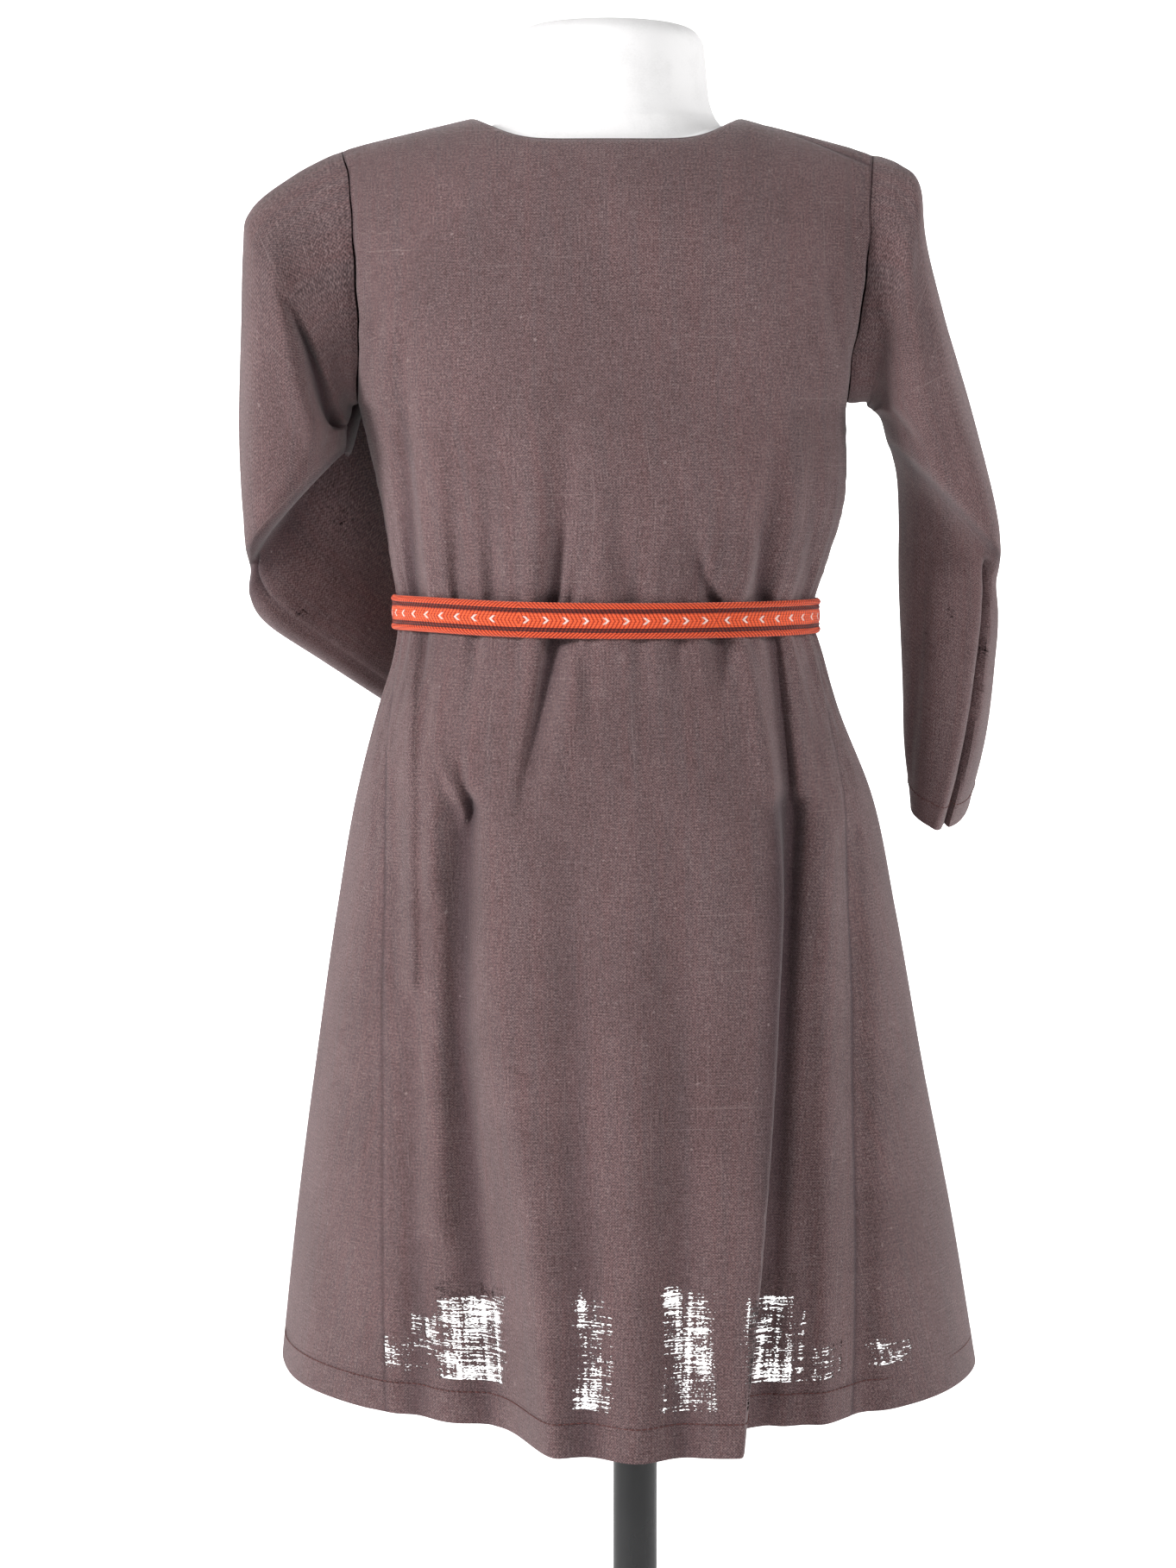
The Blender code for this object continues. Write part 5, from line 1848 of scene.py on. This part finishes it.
    def end(self, node: str, x_top: float, x_foot: float, length: float) -> Piece:
        """A free end, lying on the front of the skirt.

        Args:
            node: the solid that it stands for.
            x_top: where it leaves the knot.
            x_foot: where it ends.
            length: how long it hangs.

        Returns:
            The piece.
        """
        top = self.cut.waist_z - 0.5 * self.knot_height - self.end_gap
        shares, rises = self.ridges()
        t = np.linspace(0.0, 1.0, self.end_rows)
        z = top - t * length
        middle = x_top + t * (x_foot - x_top) + self.end_sway * np.sin(self.end_waves * t)
        theta = np.linspace(*self.end_angles)
        reach = []
        for height, x in zip(z, middle):
            line = self.cut.surface(theta, np.full_like(theta, height))
            near = np.abs(line[:, 0] - x) < 0.5 * self.height + 1.0
            reach.append(line[near, 1].min())
        reach = np.array(reach) - self.end_clearance - self.end_from_knot * (1.0 - smooth_step(0.0, 0.2, t))
        x = middle[:, None] + (shares - 0.5)[None] * self.height
        faces = (reach[:, None] - rises[None], reach[:, None])
        front, back = (np.stack(np.broadcast_arrays(x, y, z[:, None]), axis=-1) for y in faces)
        places = np.stack(np.broadcast_arrays((t * length * MM)[:, None], shares[None]), axis=-1)
        material = self.weave.make(f"{node} weave", NO_TURN)
        piece = wall(f"{node}_weave", front, back, places, material)
        settle(piece, node)
        return piece

    def build(self) -> list[Piece]:
        """All pieces of the belt."""
        end_a = self.end("belt_end_a", 25.0, 38.0, self.end_length)
        end_b = self.end("belt_end_b", 2.0, -8.0, self.end_length - self.end_shorter)
        return [self.band(), self.knot(), end_a, end_b]


@dataclass
class DressForm:
    """The limbless form: a smooth body with a neck, closed below by a flat foot."""

    cut: Cut
    neck_x: float = 16.0
    middle_x: float = 11.0
    bottom_z: float = 628.0
    neck_hole: float = 64.0
    neck_angle: float = 61.0
    shoulder_z: float = 928.0
    foot_draw: float = 0.045
    foot_round: float = 9.0
    cap_round: float = 3.0
    cap_steps: int = 13
    neck_steps: int = 50
    low_rows: int = 60
    high_rows: int = 48
    columns: int = 121
    insets: tuple[tuple[float, float], ...] = (
        (620.0, 12.0),
        (725.0, 15.0),
        (800.0, 11.0),
        (838.0, 8.5),
        (868.0, 6.5),
        (900.0, 4.7),
        (922.0, 3.7),
        (928.0, 2.9),
    )
    neck_rings: tuple[tuple[float, float, float], ...] = (
        (985.0, 60.5, 51.0),
        (990.0, 57.0, 50.0),
        (1000.0, 54.0, 49.5),
        (1016.0, 52.5, 49.0),
        (1028.0, 51.0, 48.0),
        (1033.5, 46.5, 44.0),
        (1036.0, 40.0, 38.0),
        (1037.0, 30.0, 28.0),
        (1037.2, 12.0, 11.0),
    )

    def half(self, sign: float) -> tuple[Grid, Grid]:
        """One half of the skin.

        Args:
            sign: 1 for the back and -1 for the front.

        Returns:
            The grid of points and the angle over the shoulder that each column stops at.
        """
        cut, columns = self.cut, self.columns
        theta = np.clip(np.linspace(0.0, 180.0, columns), EDGE_ANGLE, 180.0 - EDGE_ANGLE)
        x = cut.plain(theta, np.full_like(theta, self.shoulder_z))[:, 0]
        across = np.clip(np.abs((x - self.neck_x) / self.neck_hole), 0.0, 1.0)
        limit = np.where(across < 1.0, self.neck_angle + (90.0 - self.neck_angle) * across**4, 90.0)
        low = np.linspace(self.bottom_z, cut.underarm_z, self.low_rows, endpoint=False)
        high = cut.underarm_z + EDGE_ANGLE + np.linspace(0.0, 1.0, self.high_rows)[:, None] * limit
        v = np.concatenate([np.repeat(low[:, None], columns, axis=1), high])
        grid = cut.plain(np.repeat((sign * theta)[None], len(v), axis=0), v, np.interp(v, *zip(*self.insets)))
        rounding = 1.0 - smooth_step(self.bottom_z, self.bottom_z + self.foot_round, v[:, :1])
        middle = np.array([self.middle_x, 0.0])
        grid[..., :2] = middle + (grid[..., :2] - middle) * (1.0 - self.foot_draw * rounding)[..., None]
        return grid, limit

    def cap(self, back: Grid, front: Grid, column: int, sign: float) -> Grid:
        """The rounded end of a shoulder, between the two halves.

        Args:
            back: the back half's points.
            front: the front half's points.
            column: the column that the cap joins, the first or the last.
            sign: 1 on the left and -1 on the right.

        Returns:
            A grid of points.
        """
        share = np.linspace(0.0, 1.0, self.cap_steps)[None, :, None]
        rear, fore = back[self.low_rows :, column], front[self.low_rows :, column]
        edge = rear[:, None] * (1.0 - share) + fore[:, None] * share
        width = np.abs(rear[:, 1] - fore[:, 1])[:, None] / (2.0 * self.cut.armhole_half)
        edge[..., 0] += sign * self.cap_round * width * np.sin(math.pi * share[..., 0])
        return edge

    def neck(self, back: Grid, front: Grid, limit: Grid) -> Grid:
        """The neck, from the hole between the shoulders up to its flat top.

        Args:
            back: the back half's points.
            front: the front half's points.
            limit: the angle that each column stops at.

        Returns:
            A grid of points.
        """
        hole = np.where(limit < 90.0)[0]
        first, last = hole[0] - 1, hole[-1] + 1
        rear, fore = back[-1, first : last + 1], front[-1, first + 1 : last][::-1]
        loop = np.concatenate([rear, fore, rear[:1]])
        turns = np.arctan2(loop[:, 1], loop[:, 0] - self.neck_x)
        rings = [loop]
        for z, width, depth in catmull(self.neck_rings, self.neck_steps):
            x, y = self.neck_x + width * np.cos(turns), depth * np.sin(turns)
            rings.append(np.stack([x, y, np.full_like(turns, z)], axis=-1))
        top = np.array([self.neck_x, 0.0, self.neck_rings[-1][0]])
        return np.array([*rings, np.zeros_like(loop) + top])

    def build(self) -> list[Piece]:
        """The form as one piece."""
        back, limit = self.half(1.0)
        front, _ = self.half(-1.0)
        rim = np.concatenate([back[0], front[0][::-1]])
        centre = np.zeros_like(rim) + np.array([self.middle_x, 0.0, self.bottom_z])
        caps = [self.cap(back, front, column, sign) for column, sign in ((0, 1.0), (-1, -1.0))]
        points, faces = [], []
        for grid in (back, front, *caps, self.neck(back, front, limit), np.array([rim, centre])):
            start = sum(len(p) for p in points)
            points.append(grid.reshape(-1, 3))
            faces.extend(grid_faces(grid.shape[0], grid.shape[1], False, start).tolist())
        material = FormCover().make("form cover")
        piece = new_piece("form_body", np.concatenate(points), faces, None, material)
        weld(piece, 0.0001, True)
        return [settle(piece, "form_torso")]


@dataclass
class Stand:
    """The pole and the round foot."""

    sides: int = 96
    foot_edge: tuple[tuple[float, float], ...] = ((1.5, 0.0), (0.4, 0.4), (0.0, 1.5))
    foot_round: float = 2.5
    sharp_angle: float = 60.0

    def turned(self, name: str, node: str, profile: Sequence[tuple[float, float]]) -> Piece:
        """A piece turned about the pole's axis.

        Args:
            name: the piece's name.
            node: the solid that it stands for.
            profile: radius and height of each ring, from the foot up.

        Returns:
            The piece.
        """
        turns = np.linspace(0.0, 2.0 * math.pi, self.sides, endpoint=False)
        around = np.stack([np.cos(turns), np.sin(turns), 0.0 * turns], axis=-1)
        rings = [radius * around + np.array([0.0, 0.0, z]) for radius, z in profile]
        faces = grid_faces(len(rings), self.sides, True).tolist()
        faces.append(list(range(self.sides)))
        faces.append(list(range((len(rings) - 1) * self.sides, len(rings) * self.sides)))
        material = StandPaint().make(f"{name} paint")
        piece = new_piece(name, np.concatenate(rings), faces, None, material)
        piece.data.set_sharp_from_angle(angle=math.radians(self.sharp_angle))
        return settle(piece, node)

    def build(self) -> list[Piece]:
        """The pole and the foot."""
        _, high = (np.array(corner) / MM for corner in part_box("base_plate"))
        radius, thick = float(high[0]), float(high[2])
        base = [(radius - inward, z) for inward, z in self.foot_edge]
        for turn in np.linspace(0.0, 0.5 * math.pi, 7):
            inward, drop = self.foot_round * (1.0 - math.cos(turn)), self.foot_round * (1.0 - math.sin(turn))
            base.append((radius - inward, thick - drop))
        low, high = (np.array(corner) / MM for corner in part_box("pole"))
        pole = [(float(high[0]), float(low[2])), (float(high[0]), float(high[2]))]
        return [self.turned("stand_foot", "base_plate", base), self.turned("stand_pole", "pole", pole)]


@dataclass
class Studio:
    """A pale floor, a bright backdrop, soft light from the left and the camera behind the dress."""

    camera_place: Triple = (0.026, 1.75, 0.787)
    camera_pitch: float = 5.0
    lens: float = 99.5
    sensor: float = 36.0
    world: float = 0.09
    backdrop_glow: float = 1.25
    floor_glow: float = 0.75
    spill: float = 0.40
    floor_drop: float = 0.0005
    floor_size: float = 12.0
    backdrop_size: float = 9.0
    backdrop_place: Triple = (0.0, -2.6, 3.0)
    tones: tuple[Colour, Colour] = ((0.93, 0.93, 0.93, 1.0), (0.96, 0.96, 0.96, 1.0))
    mottle: Triple = (0.8, 0.8, 0.8)
    lamps: tuple[Lamp, ...] = (
        Lamp("key", (2.7, 1.35, 1.7), (0.0, 0.0, 0.68), 0.7, 98.0),
        Lamp("fill", (-1.2, 2.9, 1.2), (0.0, 0.0, 0.7), 1.4, 10.0),
        Lamp("edge", (-2.4, -0.5, 0.9), (-0.12, 0.0, 0.55), 0.8, 14.0),
        Lamp("neck", (-1.3, 0.9, 1.5), (-0.03, 0.0, 1.02), 0.5, 12.0),
    )

    def card(self, name: str, size: float, place: Triple, tilt: float, glow: float) -> None:
        """A wide pale plane.

        Args:
            name: its name.
            size: its side, in metres.
            place: its middle.
            tilt: degrees that it is turned up from level.
            glow: how bright it shines by itself.
        """
        mesh = bpy.data.meshes.new(name)
        half = 0.5 * size
        corners = [(-half, -half, 0.0), (half, -half, 0.0), (half, half, 0.0), (-half, half, 0.0)]
        mesh.from_pydata(corners, [], [(0, 1, 2, 3)])
        piece = bpy.data.objects.new(name, mesh)
        bpy.context.scene.collection.objects.link(piece)
        piece.location = place
        piece.rotation_euler = (math.radians(tilt), 0.0, 0.0)
        material, n, shader = principled(name)
        spot = n.add("ShaderNodeTexCoord").outputs["Object"]
        pale = n.blend(n.noise(spot, self.mottle, 2.0), *self.tones)
        seen = n.add("ShaderNodeLightPath").outputs["Is Camera Ray"]
        strength = n.ramp(seen, 0.0, 1.0, (self.spill * glow, glow))
        behind = n.add("ShaderNodeNewGeometry").outputs["Backfacing"]
        n.fill(shader, {"Base Color": pale, "Emission Color": pale, "Emission Strength": strength})
        n.fill(shader, {"Alpha": n.minus(1.0, behind), "Roughness": 0.9})
        mesh.materials.append(material)

    def light(self, lamp: Lamp) -> None:
        """A soft square light.

        Args:
            lamp: its place, aim, size and power.
        """
        data = bpy.data.lights.new(lamp.name, "AREA")
        data.size, data.energy = lamp.size, lamp.power
        light = bpy.data.objects.new(lamp.name, data)
        bpy.context.scene.collection.objects.link(light)
        light.location = lamp.place
        light.rotation_euler = (Vector(lamp.aim) - Vector(lamp.place)).to_track_quat("-Z", "Y").to_euler()

    def build(self) -> None:
        """The whole studio."""
        self.card("floor", self.floor_size, (0.0, 0.0, -self.floor_drop), 0.0, self.floor_glow)
        self.card("backdrop", self.backdrop_size, self.backdrop_place, -90.0, self.backdrop_glow)
        world = bpy.data.worlds.new("studio")
        world.use_nodes = True
        background = world.node_tree.nodes["Background"]
        background.inputs["Color"].default_value = (1.0, 1.0, 1.0, 1.0)
        background.inputs["Strength"].default_value = self.world
        scene = bpy.context.scene
        scene.world = world
        scene.view_settings.view_transform = "Standard"
        for lamp in self.lamps:
            self.light(lamp)
        data = bpy.data.cameras.new("camera")
        data.sensor_fit, data.sensor_width, data.lens = "HORIZONTAL", self.sensor, self.lens
        camera = bpy.data.objects.new("camera", data)
        scene.collection.objects.link(camera)
        camera.location = self.camera_place
        camera.rotation_euler = (math.radians(90.0 - self.camera_pitch), 0.0, math.pi)
        scene.camera = camera


def main() -> None:
    """Builds the studio and the dress on its form."""
    logging.basicConfig(level=logging.INFO, format="%(message)s")
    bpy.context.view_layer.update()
    Studio().build()
    cut = Cut()
    for part in (Dress(cut, Groups()), Belt(cut), DressForm(cut), Stand()):
        for piece in part.build():
            LOG.info("%s built", piece.name)
    bpy.context.view_layer.update()


if __name__ == "__main__":
    main()
